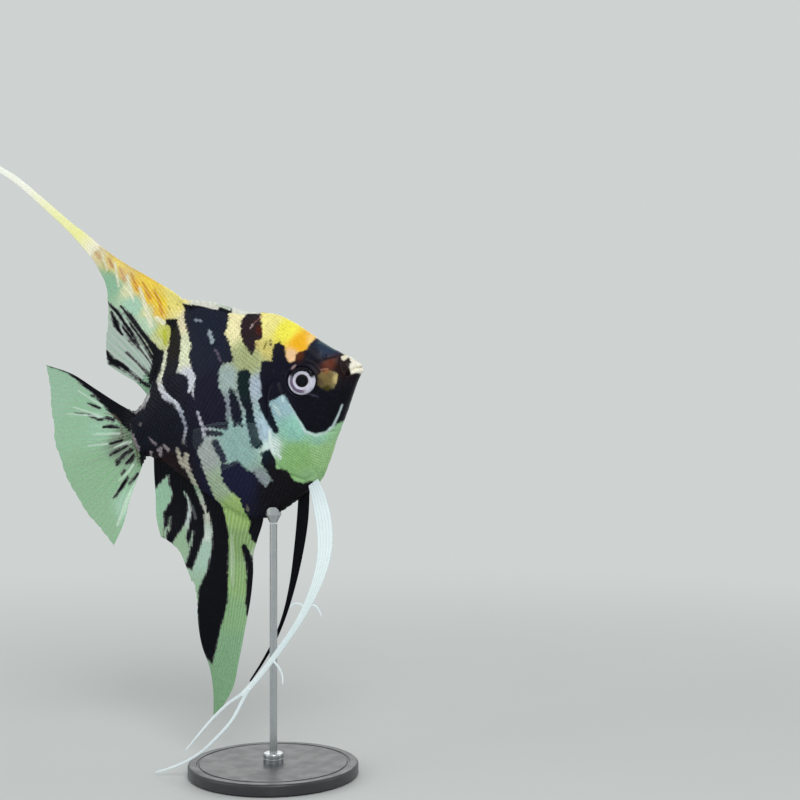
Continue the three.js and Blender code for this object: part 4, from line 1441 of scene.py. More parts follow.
    def build(self) -> None:
        """Moulds a sphere, its poles at the mouth and the stalk's end, into the skin."""
        s, closed = self.stations()
        rows = len(s) - 1
        bm = bmesh.new()
        bmesh.ops.create_uvsphere(bm, u_segments=self.around, v_segments=rows, radius=1)
        mesh = meshed(bm, "skin")
        ball = vertex_array(mesh)
        ring = np.rint(np.arccos(np.clip(ball[:, 2], -1, 1)) / math.pi * rows).astype(int)
        up = np.arctan2(ball[:, 1], np.abs(ball[:, 0])) / math.pi + 0.5
        pole = (ring == 0) | (ring == rows)
        step = np.where(pole, self.around // 4, np.rint(up * (self.around // 2))).astype(int)
        shared = pole | (np.abs(ball[:, 0]) < 1e-6)
        sign = np.where(ball[:, 0] > 0, 1.0, -1.0)

        at, height, width, length = self.rings(s, closed)
        at, height, width = (grid[ring, step] for grid in self.open_mouth(at, height, width, closed))
        out = sign * np.where(shared, 0, self.socket(at, height, width))
        move_vertices(mesh, FISH.place(at, height, BODY.sway(at) + out))
        face_outwards(mesh)
        hold = smooth(EYE.radius - 0.1, EYE.radius + 0.3, EYE.away(at, height))
        rise = self.relief(at, height) * hold * smooth(0.1, 0.5, closed[ring])
        move_vertices(mesh, vertex_array(mesh) + vertex_array(mesh, "normal") * rise[:, None] * MM)

        self.ring_s, self.ring_length = s, length
        for values in (vertex_array(mesh), vertex_array(mesh, "normal")):
            grid = np.zeros((2, len(s), self.around // 2 + 1, 3))
            for index, value in ((0, -1), (1, 1)):
                own = (sign == value) | shared
                grid[index, ring[own], step[own]] = values[own]
            for end in (0, -1):
                grid[:, end] = grid[:, end, self.around // 4][:, None]
            self.surface.append(grid)
        self.travel = np.concatenate([[0], np.cumsum(np.hypot(np.diff(s), 0.3 * np.diff(closed)))])
        self.travel /= self.travel[-1]
        unrolled = 0.5 + (step / (self.around // 2) - 0.5) * length[ring] / length.max()
        unwrap(mesh, self.travel[ring], unrolled, np.where(shared, 0, sign))
        paint_body(mesh, at, height, sign)
        piece(mesh, SKIN_FINISH, self.nodes)

    def on_surface(self, side: Side, s: Array, rise: Array) -> tuple[Array, Array, Array]:
        """Points of the finished skin.

        Args:
            side: Which flank.
            s: Places along the body.
            rise: Lengths along the skin upwards from the middle of each flank, in mm.

        Returns:
            The points in metres, their outward normals, and their place up the OFBake map.
        """
        index = 0 if side is Side.RIGHT else 1
        ring = np.interp(s, self.ring_s, np.arange(len(self.ring_s)))
        length = np.interp(s, self.ring_s, self.ring_length)
        step = (0.5 + rise / length) * (self.around // 2)
        r = np.clip(np.floor(ring).astype(int), 0, len(self.ring_s) - 2)
        k = np.clip(np.floor(step).astype(int), 0, self.around // 2 - 1)
        back, up = (ring - r)[:, None], (step - k)[:, None]
        found = []
        for grid in self.surface:
            low, high = (g[r, k] * (1 - up) + g[r, k + 1] * up for g in (grid[index], grid[index, 1:]))
            found.append(low * (1 - back) + high * back)
        return found[0], unit(found[1]), 0.5 + rise / self.ring_length.max()


# ---- scales ----
SCALE_PATCH = 0.003  # each scale's span on the OFBake map


@dataclass
class Scales:
    """Scales in staggered rows, each a thin rounded shell that overlaps the next towards the tail.

    Attributes:
        along: Spacing of the scales in a row, in mm.
        across: Spacing of the rows.
        length: Of a scale, part of it hidden under the one before.
        width: Of a scale.
        lift: How far the free edge stands off the skin.
        sink: How far the root lies under it.
        thick: Of a scale.
        seed: For the small unevenness of the rows.
    """

    name: str
    along: float
    across: float
    length: float
    width: float
    lift: float = 0.13
    sink: float = 0.16
    thick: float = 0.07
    seed: int = 1

    def shell(self) -> Mesh:
        """Makes one scale: its root towards -x, its free edge towards +x, its face towards +z.

        Returns:
            Its mesh, in mm, with its "rim" attribute.
        """
        mesh, x, y, face = plate(4, 4, "scale")
        x, y = 2 * x - 1, 2 * y - 1
        round_x, round_y = x * np.sqrt(1 - y * y / 2), y * np.sqrt(1 - x * x / 2)
        back = (round_x + 1) / 2
        reach = np.hypot(round_x, round_y)
        height = -self.sink + (self.sink + self.lift) * back - 0.05 * round_y**2 * self.width
        height = height - 0.2 * self.lift * smooth(0.8, 1, reach) * back
        height = height + face * self.thick / 2 * (1 - 0.7 * reach**4)
        length = self.length / 2 * np.where(round_x > 0, 1, 1.1)
        move_vertices(mesh, np.stack([round_x * length, round_y * self.width / 2, height], -1))
        store(mesh, rim=np.where(face > 0, reach, 0.8) * smooth(0.45, 0.85, back))
        return mesh

    def lay(self, points: Array, lie: Array, normal: Array, u: Array, v: Array, size: Array) -> Mesh:
        """Joins one shell for every root into one mesh.

        Args:
            points: The roots, in metres.
            lie: Which way each scale points.
            normal: Which way its face looks.
            u: Each root's place across the OFBake map.
            v: Each root's place up it.
            size: How large each scale is, as a share of the full size.

        Returns:
            The joined mesh, with its map and its "rim" and "glint" attributes.
        """
        shell = self.shell()
        local = vertex_array(shell) * MM
        rim = np.empty(len(local), np.float32)
        shell.attributes["rim"].data.foreach_get("value", rim)
        faces = np.array([list(p.vertices) for p in shell.polygons])
        bpy.data.meshes.remove(shell)
        count, total = len(local), len(points)
        chance = np.random.default_rng(self.seed)
        grown = (1 + 0.14 * (chance.random((total, 1, 1)) - 0.5)) * size[:, None, None]
        turn = 0.16 * (chance.random((total, 1)) - 0.5)
        glint = chance.random(total) - 0.5
        normal = unit(normal)
        lie = unit(lie - normal * (lie * normal).sum(1, keepdims=True))
        side = np.cross(normal, lie)
        axes = np.stack([lie + side * turn, side - lie * turn, normal], 1)
        placed = points[:, None] + np.einsum("vk,nkc->nvc", local, axes) * grown
        joined = (faces[None] + count * np.arange(total)[:, None, None]).reshape(-1, 4)
        mesh = bpy.data.meshes.new(self.name)
        mesh.from_pydata(placed.reshape(-1, 3), [], joined)
        mesh.update()
        mesh.shade_smooth()
        store(mesh, rim=np.tile(rim, total), glint=np.repeat(glint, count))
        corner = corners_of(mesh)
        spots = (middle[:, None] + local[:, i] / (self.length * MM) * SCALE_PATCH
                 for i, middle in enumerate((u, v)))
        map_corners(mesh, *(spot.ravel()[corner] for spot in spots))
        return mesh


@dataclass(kw_only=True)
class FlankScales(Scales):
    """The scales of one flank, laid on the finished skin wherever area gives a depth, in mm."""

    skin: Skin
    side: Side
    area: Callable[[Array, Array], Array]

    def build(self) -> None:
        """Lays the flank's scales."""
        s, rise = [], []
        for index, row in enumerate(np.arange(-42, 42, self.across)):
            s.append(np.arange(2, 81.4, self.along) + (index % 2) * self.along / 2)
            rise.append(np.full(len(s[-1]), row))
        s, rise = np.concatenate(s), np.concatenate(rise)
        inside = np.abs(rise) < np.interp(s, self.skin.ring_s, self.skin.ring_length) / 2 - 0.2
        s, rise = s[inside], rise[inside]
        depth = self.area(*FISH.read(self.skin.on_surface(self.side, s, rise)[0]))
        s, rise, depth = (values[depth > 0] for values in (s, rise, depth))
        points, normal, up = self.skin.on_surface(self.side, s, rise)
        ahead = self.skin.on_surface(self.side, np.minimum(s + 0.4, 81.5), rise)[0]
        behind = self.skin.on_surface(self.side, s - 0.4, rise)[0]
        across = across_half(self.side is Side.LEFT, np.interp(s, self.skin.ring_s, self.skin.travel))
        size = 0.62 + 0.38 * smooth(0, 2.5, depth)
        mesh = self.lay(points, ahead - behind, normal, across, up_map(up), size)
        # Each scale takes its markings from half way between its own place and its root's.
        own, root = FISH.read(vertex_array(mesh)), FISH.read(points)
        each = len(own[0]) // len(points)
        s, h = ((here + np.repeat(there, each)) / 2 for here, there in zip(own, root))
        paint_body(mesh, s, h, np.full(len(s), self.side.sign))
        piece(mesh, SCALE_FINISH)


def trunk_area(s: Array, h: Array) -> Array:
    """How far behind the head's rear limit, and ahead of the tail fin, a place lies.

    Args:
        s: Places along the body.
        h: Heights.

    Returns:
        Depths in mm, negative outside.
    """
    front = np.interp(h, [-34, -29, -24, -19, -14, -8, -2, 4, 10, 16, 22, 28],
                      [28, 31, 34.6, 35.6, 35.4, 33.4, 32.4, 31, 29.6, 28.4, 27, 26])
    return np.where(s > front, np.minimum(80.8 - s, 3), -1)


def head_area(s: Array, h: Array) -> Array:
    """How far inside the small scales of nape, breast, cheek and gill cover a place lies.

    Args:
        s: Places along the body.
        h: Heights.

    Returns:
        Depths in mm, negative outside.
    """
    front = np.interp(h, [-34, -29, -24, -18, -12, -6, 0, 6, 12, 18, 24],
                      [23, 18.4, 15.4, 12.4, 11, 13, 24, 23.6, 20.6, 18.4, 21])
    cover = into(s, h, GILL_COVER)
    gill = np.where(s < 22, 3, np.where(cover > 0, cover - 1.2, -1.3 - cover) * 2)
    ridge = (to_line(s, h, PREOPERCLE) - 0.85) * 2
    depth = np.minimum.reduce([s - front, EYE.away(s, h) - 6.9, gill, ridge])
    return np.where(trunk_area(s + 0.9, h) > 0, -1, depth)


# ---- fins ----
@dataclass
class Fin:
    """A fin over a patch between four edges, with raised rays that fork towards the margin.

    Attributes:
        root: Where it grows from the body, as [s, h] points; lead, trail and margin are its edges.
        columns: Grid steps for each ray.
        rows: Grid steps from root to margin.
        fork: How far apart a ray's two tips lie, as a share of the ray spacing.
        fork_from: Where along a ray the fork begins.
        fray: How unevenly long the rays are, as a share of their length.
        scallop: How far the skin dips between ray tips, as a share of their length.
        web: Half the thickness of the skin between rays, in mm.
        ray_width: Half a ray's width.
        ray_stand: How far a ray stands out from the skin.
        taper: How much of that it has lost by its tip, as a share.
        root_stand: How much thicker each face is at the root.
        root_reach: How far up the fin that thickness reaches, in mm.
        calm: Up to which share across the margin is unfrayed.
        sheath: How far scales climb the fin from its root, in mm.
        bare: How much of that lies inside the body.
        wave: How far the fin bends aside, in mm, for shares across and along it.
        seed: For the fraying.
    """

    name: str
    nodes: tuple[str, ...]
    slot: str
    root: Pairs
    lead: Pairs
    trail: Pairs
    margin: Pairs
    rays: int
    columns: int = 7
    rows: int = 150
    fork: float = 0.26
    fork_from: float = 0.35
    fray: float = 0.03
    scallop: float = 0.012
    web: float = 0.11
    ray_width: float = 0.26
    ray_stand: float = 0.15
    taper: float = 0.45
    root_stand: float = 0.9
    root_reach: float = 3
    calm: float = 0
    sheath: float = 0
    bare: float = 1.2
    wave: Callable[[Array, Array], Array] = lambda a, b: 0 * a
    seed: int = 1

    def patch(self, a: Array, b: Array) -> Array:
        """The fin's flat form.

        Args:
            a: Shares from the leading edge to the trailing one.
            b: Shares from root to margin.

        Returns:
            One row of s and h for each point.
        """
        root, margin = Spline(self.root, even=True), Spline(self.margin, even=True)
        lead, trail = Spline(self.lead), Spline(self.trail)
        a, b = a[:, None], b[:, None]
        across = root(a[:, 0]) * (1 - b) + margin(a[:, 0]) * b
        down = lead(b[:, 0]) * (1 - a) + trail(b[:, 0]) * a
        near = root(0.0) * (1 - a) + root(1.0) * a
        far = margin(0.0) * (1 - a) + margin(1.0) * a
        return across + down - near * (1 - b) - far * b

    def reach(self, a: Array) -> Array:
        """How much of its full length the fin has after fraying.

        Args:
            a: Shares across.

        Returns:
            Shares of the length.
        """
        chance = np.random.default_rng(self.seed).random(self.rays + 2)
        phase = a * self.rays
        short = np.interp(phase, np.arange(self.rays + 2) + 0.5, chance)
        between = np.abs((phase % 1) - 0.5) * 2
        ragged = smooth(self.calm, self.calm + 0.06, a) if self.calm else 1
        long = 1 - (self.fray * short + self.scallop * between**2) * ragged
        return np.where((a < 0.004) | (a > 0.996), 1, long)

    def nearest_ray(self, a: Array, b: Array, spacing: Array) -> Array:
        """How close each point is to a ray's middle, from 0 to 1.

        Args:
            a: Shares across.
            b: Shares along.
            spacing: The distance between rays there, in mm.

        Returns:
            1 on a ray's middle line, 0 between rays.
        """
        apart = self.fork * smooth(self.fork_from, 1.05, b)
        offset = (a * self.rays) % 1 - 0.5
        distance = np.minimum(np.abs(offset - apart), np.abs(offset + apart)) * spacing
        thin = np.minimum(self.ray_width, 0.42 * spacing) * (1 - 0.35 * b)
        edge = hump(np.minimum(a, 1 - a) * self.rays * spacing, 0.35)
        return np.maximum(hump(distance, thin), edge)

    def surface(self, a: Array, full: Array, face: Array) -> tuple[Array, Array, dict[str, Array]]:
        """The fin's outside.

        Args:
            a: Shares across.
            full: Shares along the frayed rays.
            face: 1 on the left face, -1 on the right.

        Returns:
            The points in metres, the shares along the unfrayed rays, and the "ray" and "run" layers.
        """
        b = full * self.reach(a)
        here = self.patch(a, b)
        step = 0.5 / self.rays
        beside = self.patch(np.clip(a + step, 0, 1), b) - self.patch(np.clip(a - step, 0, 1), b)
        ray = self.nearest_ray(a, b, np.maximum(np.linalg.norm(beside, axis=1), 0.3))
        run = np.linalg.norm(here - self.patch(a, 0 * b), axis=1)
        edge = smooth(0, 0.035, np.minimum(np.minimum(a, 1 - a) * 4, 1 - full))
        rooted = self.root_stand * hump(run, self.root_reach)
        half = self.web + self.ray_stand * ray * (1 - self.taper * b) + rooted
        half = half * (0.35 + 0.65 * edge)
        s, h = here.T
        points = FISH.place(s, h, BODY.sway(s) + self.wave(a, b) + face * half)
        return points, b, {"ray": ray, "run": run}

    def build(self) -> None:
        """Moulds the fin from a plate, and lays the scales that climb it."""
        mesh, a, full, face = plate(self.columns * self.rays, self.rows, self.name)
        points, b, layers = self.surface(a, full, face)
        move_vertices(mesh, points)
        face_outwards(mesh)
        store(mesh, **layers)
        paint_fin(mesh, *FISH.read(points))
        unwrap(mesh, a, b, face)
        piece(mesh, FIN_FINISH, self.nodes)
        if self.sheath:
            self.sheathe()

    def sheathe(self) -> None:
        """Lays rows of ever smaller scales on both faces of the fin's root."""
        scales = Scales(f"{self.name}_scales", along=0.95, across=0.6, length=1.35, width=1.15, lift=0.07,
                        sink=0.1, thick=0.05, seed=self.seed)
        rooted = self.patch(np.linspace(0, 1, 60), np.full(60, 0.04))
        columns = int(np.linalg.norm(np.diff(rooted, axis=0), axis=1).sum() / scales.width)
        rows = int((self.sheath - self.bare) / (scales.along / 2))
        across, row, face = (grid.ravel() for grid in np.meshgrid(
            np.arange(columns), np.arange(rows), (-1.0, 1.0), indexing="ij"))
        a = np.clip((across + 0.25 + 0.5 * (row % 2)) / columns, 0.01, 0.99)
        length = np.linalg.norm(self.patch(a, np.full(len(a), 0.1)) - self.patch(a, 0 * a), axis=1) * 10
        run = self.bare + row * scales.along / 2
        kept = (run < self.sheath * (0.75 + 0.25 * np.sin(9 * a + self.seed))) & (run < length / 2)
        a, full, face, run = a[kept], (run / length)[kept], face[kept], run[kept]
        points, b, _ = self.surface(a, full, face)
        ahead = self.surface(a, full + 0.01, face)[0] - points
        normal = np.cross(ahead, self.surface(np.clip(a + 0.01, 0, 1), full, face)[0] - points)
        normal *= np.sign(normal[:, 1] * face)[:, None]
        size = 1 - 0.45 * run / self.sheath
        mesh = scales.lay(points, ahead, normal, across_half(face > 0, a), up_map(b), size)
        paint_fin(mesh, *FISH.read(vertex_array(mesh)))
        piece(mesh, SCALE_FINISH)


@dataclass
class Filament:
    """A long ray drawn out into a ribbon along a line of [s, h, y, width] points.

    Attributes:
        strands: Fine ridges that run its length.
        columns: Grid steps across.
        rows: Grid steps along.
        thick: Its thickness at the middle, in mm.
        pale: Its tints along its length, from root to tip.
        dark: How far its root lies in the dark, in mm, and its tip.
    """

    name: str
    nodes: tuple[str, ...]
    slot: str
    line: Pairs
    strands: int = 5
    columns: int = 30
    rows: int = 320
    thick: float = 0.62
    pale: tuple[Colour, ...] = ((226, 238, 244),)
    dark: tuple[float, float] = (-MARK_REACH, -MARK_REACH)

    def build(self) -> None:
        """Moulds the filament from a plate."""
        mesh, across, t, face = plate(self.columns, self.rows, self.name)
        across = 2 * across - 1
        *middle, widths = zip(*self.line)
        route = Spline(np.transpose(middle))
        wide = Along(np.transpose((np.linspace(0, 1, len(widths)), widths)))(t) / 2
        centre, ahead = route(t), route.tangent(t)
        sideways = unit(np.stack([-ahead[:, 1], ahead[:, 0]], -1))
        tip = np.sqrt(np.clip((1 - t) / 0.012, 0, 1))
        s, h = (centre[:, :2] + sideways * (across * wide * tip)[:, None]).T
        ridge = np.abs(np.cos(across * self.strands / 2 * math.pi)) ** 1.5
        lens = np.sqrt(np.clip(1 - (0.94 * across) ** 2, 0, 1))
        half = self.thick / 2 * lens * (0.66 + 0.34 * ridge) * (0.3 + 0.7 * tip)
        move_vertices(mesh, FISH.place(s, h, centre[:, 2] + face * half))
        face_outwards(mesh)
        length = np.linalg.norm(np.diff(route(np.linspace(0, 1, 200)), axis=0), axis=1).sum()
        steps = np.linspace(0, 1, len(self.pale))
        ground = [np.interp(t, steps, band) for band in zip(*(linear(c) for c in self.pale))]
        store(mesh, ray=ridge * 0.8, run=t * length, dark=np.interp(t, (0, 1), self.dark),
              ground=np.stack(ground, -1), shade=np.tile(linear(FIN_BLACK), (len(t), 1)), opacity=0 * t + 1)
        unwrap(mesh, (across + 1) / 2, t, face)
        piece(mesh, FILAMENT_FINISH, self.nodes)


PECTORAL_GREY = (150, 172, 176)


@dataclass
class Pectoral(Fin):
    """A pectoral fin, which stands out from the flank behind the gill cover.

    Attributes:
        side: Its flank.
        base_s: Where along the body it grows.
        base_h: Its height there.
        spread: How far it is turned out, in radians.
        spacing: The distance between its rays at root and margin, in mm.
        clear: How much its skin hides.
        clouded: How much more the root hides.
    """

    side: Side = Side.RIGHT
    base_s: float = 35.2
    base_h: float = -11
    spread: float = math.radians(20)
    spacing: tuple[float, float] = (0.3, 1.35)
    clear: float = 0.03
    clouded: float = 0.4

    def build(self) -> None:
        """Moulds the fin flat and then stands it out from its flank."""
        mesh, a, full, face = plate(self.columns * self.rays, self.rows, self.name)
        b = full * self.reach(a)
        run, rise = self.patch(a, b).T
        ray = self.nearest_ray(a, b, np.interp(b, (0, 1), self.spacing))
        half = (self.web + self.ray_stand * ray + self.root_stand * np.exp(-b / 0.08)) * (1 - 0.5 * b)
        out = float(BODY.half_width(self.base_s)) - 0.5 + run * math.sin(self.spread) + self.wave(a, b)
        s, h = self.base_s + run * math.cos(self.spread), self.base_h + rise
        move_vertices(mesh, FISH.place(s, h, self.side.sign * (out + face * half)))
        face_outwards(mesh)
        glass = np.tile(linear(PECTORAL_GREY), (len(a), 1))
        store(mesh, ray=ray, run=run, dark=0 * a - MARK_REACH, ground=glass, shade=glass,
              opacity=self.clear + self.clouded * np.exp(-b / 0.06))
        unwrap(mesh, a, b, face)
        piece(mesh, CLEAR_FINISH, self.nodes)


def swell(amount: float, half_turns: float, share: Array) -> Array:
    """A gentle bend along a share."""
    return amount * np.sin(half_turns * math.pi * share)


MEDIAN_FINS = (
    Fin("spiny_dorsal", ("dorsal_spines",), "fin_black",
        root=((29, 24), (38, 26.4), (46, 30), (53, 32)), lead=((29, 24), (30, 26.6)),
        trail=((53, 32), (54, 38.4)), margin=((30, 26.6), (35, 29), (41.3, 33), (47.5, 35.9), (54, 38.4)),
        rays=12, columns=10, rows=34, fork=0, fray=0, scallop=0.14, ray_width=0.34, ray_stand=0.22,
        web=0.14, root_stand=0.5, seed=3),
    Fin("soft_dorsal", ("dorsal_fin",), "fin_gold",
        root=((52.6, 32), (58.2, 27.4), (65.6, 19), (72.6, 9.4)),
        lead=((52.6, 32), (53, 35.4), (53.6, 38.6)),
        trail=((72.6, 9.4), (76.2, 16), (80.4, 20.6), (84.3, 25)),
        margin=(
            (53.6, 38.6), (56.6, 42.2), (60, 45.6), (64.2, 49.8), (68.6, 54), (73, 58.8), (77.1, 63.5),
            (80.8, 62.4), (79.8, 57.6), (78.3, 51.6), (79, 44.4), (81.2, 37), (83.6, 30.4), (84.3, 25)),
        rays=27, wave=lambda a, b: swell(0.9, 1.6, b) * (1 - a * 0.5), fork=0.2, fray=0.035, calm=0.46,
        sheath=6.5, bare=1.6, seed=5),
    Filament(
        "dorsal_filament", ("dorsal_streamer",), "fin_gold", columns=28, rows=300,
        line=tuple((s, h, float(BODY.sway(s)), width) for s, h, width in (
            (74.6, 55.4, 5.4), (78.6, 61.4, 5.2), (82.2, 67.4, 4.0), (86.4, 73.7, 2.8), (93.5, 84.2, 2.4),
            (100.2, 93.6, 2.2), (106.8, 100.6, 2), (113.6, 107.2, 1.5), (120.5, 113.6, 0.8))),
        pale=((250, 234, 168), (250, 244, 226), (246, 246, 156), (248, 248, 180), (252, 252, 238),
              (250, 254, 242), (244, 253, 238), (236, 248, 232))),
    Fin("anal_fin", ("anal_fin_front", "anal_fin_middle", "anal_fin_rear"), "fin_pale",
        root=((44.4, -34.6), (52.6, -29.6), (62.4, -20.8), (69.8, -12.8), (76, -6)),
        lead=(
            (44.4, -34.6), (46, -38.6), (49.4, -43.4), (52, -47.6), (53.8, -53.7), (56.6, -61.2),
            (60.9, -70.4), (65, -79), (69.4, -87.4), (78, -95.6)),
        trail=((76, -6), (78.4, -14), (79.8, -21.6), (80.6, -28), (80.2, -34.6)),
        margin=(
            (78, -95.6), (76, -87), (75, -79), (75.4, -71.4), (74.4, -62), (73.6, -55), (74.6, -47),
            (75.8, -40.4), (80.2, -34.6)),
        rays=30, columns=6, rows=170, wave=lambda a, b: swell(1.2, 1.4, b) + swell(0.7, 3, a) * b,
        fray=0.05, calm=0.5, sheath=7, bare=1.6, seed=8),
    Fin("caudal_fin", ("tail_fin_upper", "tail_fin_middle", "tail_fin_lower"), "fin_clear",
        root=((78.6, 6.4), (79.4, 3.4), (79.6, 0), (79.4, -3.4), (78.6, -6.4)),
        lead=((78.6, 6.4), (84, 11.4), (90.4, 18.2), (97, 25.2), (104.8, 30.4)),
        trail=((78.6, -6.4), (83.4, -13.4), (88.4, -20.6), (92, -27), (97, -33.2)),
        margin=((104.8, 30.4), (106.8, 18.6), (108, 6), (107, -8), (103.4, -21), (97, -33.2)),
        rays=18, columns=11, rows=110, wave=lambda a, b: -b * b + swell(0.8, 3, a) * b,
        fork=0.3, fork_from=0.15, root_stand=1.3, sheath=6.5, bare=2.2, seed=11),
)
PELVIC_WHITE = ((196, 208, 216), (228, 242, 246), (232, 246, 248), (226, 240, 244), (236, 246, 250))
PELVIC_FINS = (
    Filament("pelvic_right", ("pelvic_fin_right", "pelvic_streamer_right"), "fin_white", (
        (25.4, -28.6, -0.9, 3.4), (24.6, -32, -1.8, 4.2), (23.6, -38, -3.6, 5), (23.6, -46, -5.6, 5.2),
        (25.4, -54.2, -7.6, 4.4), (30.2, -62.4, -8.8, 3.1), (37.5, -70.6, -9.2, 2.1),
        (46.4, -78, -9.4, 1.8), (55.4, -84.6, -9.6, 1.7), (62.6, -89.2, -10, 1.8)), pale=PELVIC_WHITE),
    Filament("pelvic_left", ("pelvic_fin_left", "pelvic_streamer_left"), "fin_black", (
        (28.6, -28.6, 0.9, 3.2), (30, -32.4, 1.8, 3.7), (33.9, -41, 4, 3.9), (38.6, -50, 6, 3.3),
        (43.6, -59, 7.4, 2.3), (49, -67.6, 8.2, 1.5), (54.8, -75, 8.8, 1.1), (61.4, -81.6, 9, 0.9),
        (68, -87.2, 9, 0.5)), pale=((90, 84, 88),), dark=(3, 1)),
    *(Filament(name, nodes, "fin_white", line, strands=3, columns=14, rows=rows, thick=0.5,
               pale=PELVIC_WHITE[3:]) for name, nodes, rows, line in (
        ("strand_upper", ("pelvic_strand_upper",), 120, (
            (60, -87.6, -9.9, 1.2), (63, -88.9, -10, 1.1), (68.6, -90.9, -9.4, 1), (76, -95, -9.6, 0.9),
            (85.6, -101.8, -11, 0.5))),
        ("strand_lower", ("pelvic_strand_lower",), 160, (
            (59.6, -87.6, -10, 1.2), (62.8, -90.8, -10, 1.1), (67.6, -96, -11.4, 1), (74, -100.2, -12.4, 1),
            (80.4, -103.4, -12.8, 0.9), (88.2, -105.4, -12.8, 0.8), (97, -106.2, -13, 0.4))),
        ("tendril_rear", (), 40, (
            (35.2, -67.6, -9, 0.7), (36, -66.2, -8.8, 0.6), (37.6, -65.5, -8.6, 0.6),
            (39, -65.7, -8.6, 0.5), (40, -66.4, -8.6, 0.3))),
        ("tendril_front", (), 40, (
            (34, -67.4, -9, 0.7), (32.6, -67.2, -8.8, 0.7), (31.4, -67.9, -8.6, 0.6),
            (30.8, -69.5, -8.4, 0.5), (30.6, -71.4, -8.4, 0.3))),
        ("tendril_low", (), 40, (
            (49.6, -80.6, -9.6, 0.7), (48.6, -82.4, -9.5, 0.7), (47.9, -84.4, -9.4, 0.6),
            (47.8, -86.6, -9.4, 0.5), (48.4, -88.8, -9.4, 0.3))))),
)
PECTORAL_FINS = tuple(
    Pectoral(
        f"pectoral_{side.value}", (f"pectoral_fin_{side.value}",), "fin_clear",
        root=((-1, 2.2), (-0.6, 0), (-0.8, -2.4)), lead=((-1, 2.2), (7, 4.8), (14, 6.2), (20.6, 5.6)),
        trail=((-0.8, -2.4), (5, -5.6), (10, -8), (14.4, -8.8)),
        margin=((20.6, 5.6), (21.6, 1.4), (19.6, -4.6), (14.4, -8.8)), rays=12, columns=9, rows=70,
        wave=lambda a, b: swell(0.5, 1, a) * b, web=0.07, ray_stand=0.1, ray_width=0.14, root_stand=0.5,
        side=side, seed=21)
    for side in Side)


# ---- eyes ----
@dataclass(frozen=True)
class IrisFinish:
    """Black pupil, silver ring, dusky crescent, more silver and a black rim, veiled black above the ring.

    Attributes:
        pupil_end: Over which distances from the middle the pupil gives way, in mm.
        edge_end: The same for its brown edge.
        ring_end: The same for the silver ring, to the crescent.
        dusk_end: The same for the crescent's outer side, inwards.
        veil_from: The same for the silver, to the veil.
        rim_from: The same for the silver, to the black rim.
    """

    pupil_end: tuple[float, float] = (1.9, 1.96)
    edge_end: tuple[float, float] = (1.98, 2.12)
    ring_end: tuple[float, float] = (2.75, 2.95)
    dusk_end: tuple[float, float] = (3.95, 3.7)
    veil_from: tuple[float, float] = (2.75, 3.1)
    rim_from: tuple[float, float] = (4.3, 4.44)
    pupil: Colour = (3, 3, 8)
    pupil_edge: Colour = (110, 84, 80)
    silver: tuple[Colour, Colour] = ((212, 204, 214), (250, 248, 252))
    dusk: tuple[Colour, Colour] = ((84, 66, 88), (150, 130, 152))
    veil: Colour = (14, 10, 20)
    rim: Colour = (12, 10, 18)

    def make(self) -> Material:
        """Makes the material.

        Returns:
            The material.
        """
        sheet = Sheet("iris", Coat_Weight=0.04, Coat_Roughness=0.1, Specular_IOR_Level=0.08)
        reach, fibre = sheet.attribute("reach"), sheet.noise(0.35, 4)
        wander = sheet.plus(reach, sheet.swung(fibre, 0.25))
        ring_end = sheet.ranged(wander, *self.ring_end)
        crescent = sheet.times(ring_end, sheet.ranged(wander, *self.dusk_end))
        lower = sheet.ranged(sheet.attribute("low"), 0.2, 0.65)
        silver, dusk = sheet.mixed(sheet.noise(0.8, 3), *self.silver), sheet.mixed(fibre, *self.dusk)
        ring = sheet.mixed(sheet.times(crescent, lower), silver, dusk)
        above = sheet.ranged(sheet.attribute("high"), 0.1, 0.5)
        coat = sheet.mixed(sheet.times(sheet.ranged(wander, *self.veil_from), above), ring, self.veil)
        coat = sheet.mixed(sheet.ranged(reach, *self.rim_from), coat, self.rim)
        coat = sheet.mixed(sheet.ranged(reach, *self.edge_end), self.pupil_edge, coat)
        sheet.set("Base Color", sheet.mixed(sheet.ranged(reach, *self.pupil_end), self.pupil, coat))
        sheet.set("Metallic", sheet.ranged(reach, 1.9, 2.1, 0, 0.15))
        sheet.set("Roughness", sheet.ranged(reach, 1.9, 2.1, 0.2, 0.4))
        sheet.bump(sheet.attribute("fibre"), 0.012, 0.5)
        return sheet.material


@dataclass(frozen=True)
class WindowFinish:
    """The eye's clear, wet window."""

    clear: tuple[Colour, Colour] = ((252, 252, 255), (240, 244, 252))

    def make(self) -> Material:
        """Makes the material.

        Returns:
            The material.
        """
        sheet = Sheet("eye window", Roughness=0.03, IOR=1.13, Transmission_Weight=1.0)
        sheet.set("Base Color", sheet.mixed(sheet.noise(1.5), *self.clear))
        return sheet.material


IRIS, EYE_WINDOW = IrisFinish().make(), WindowFinish().make()


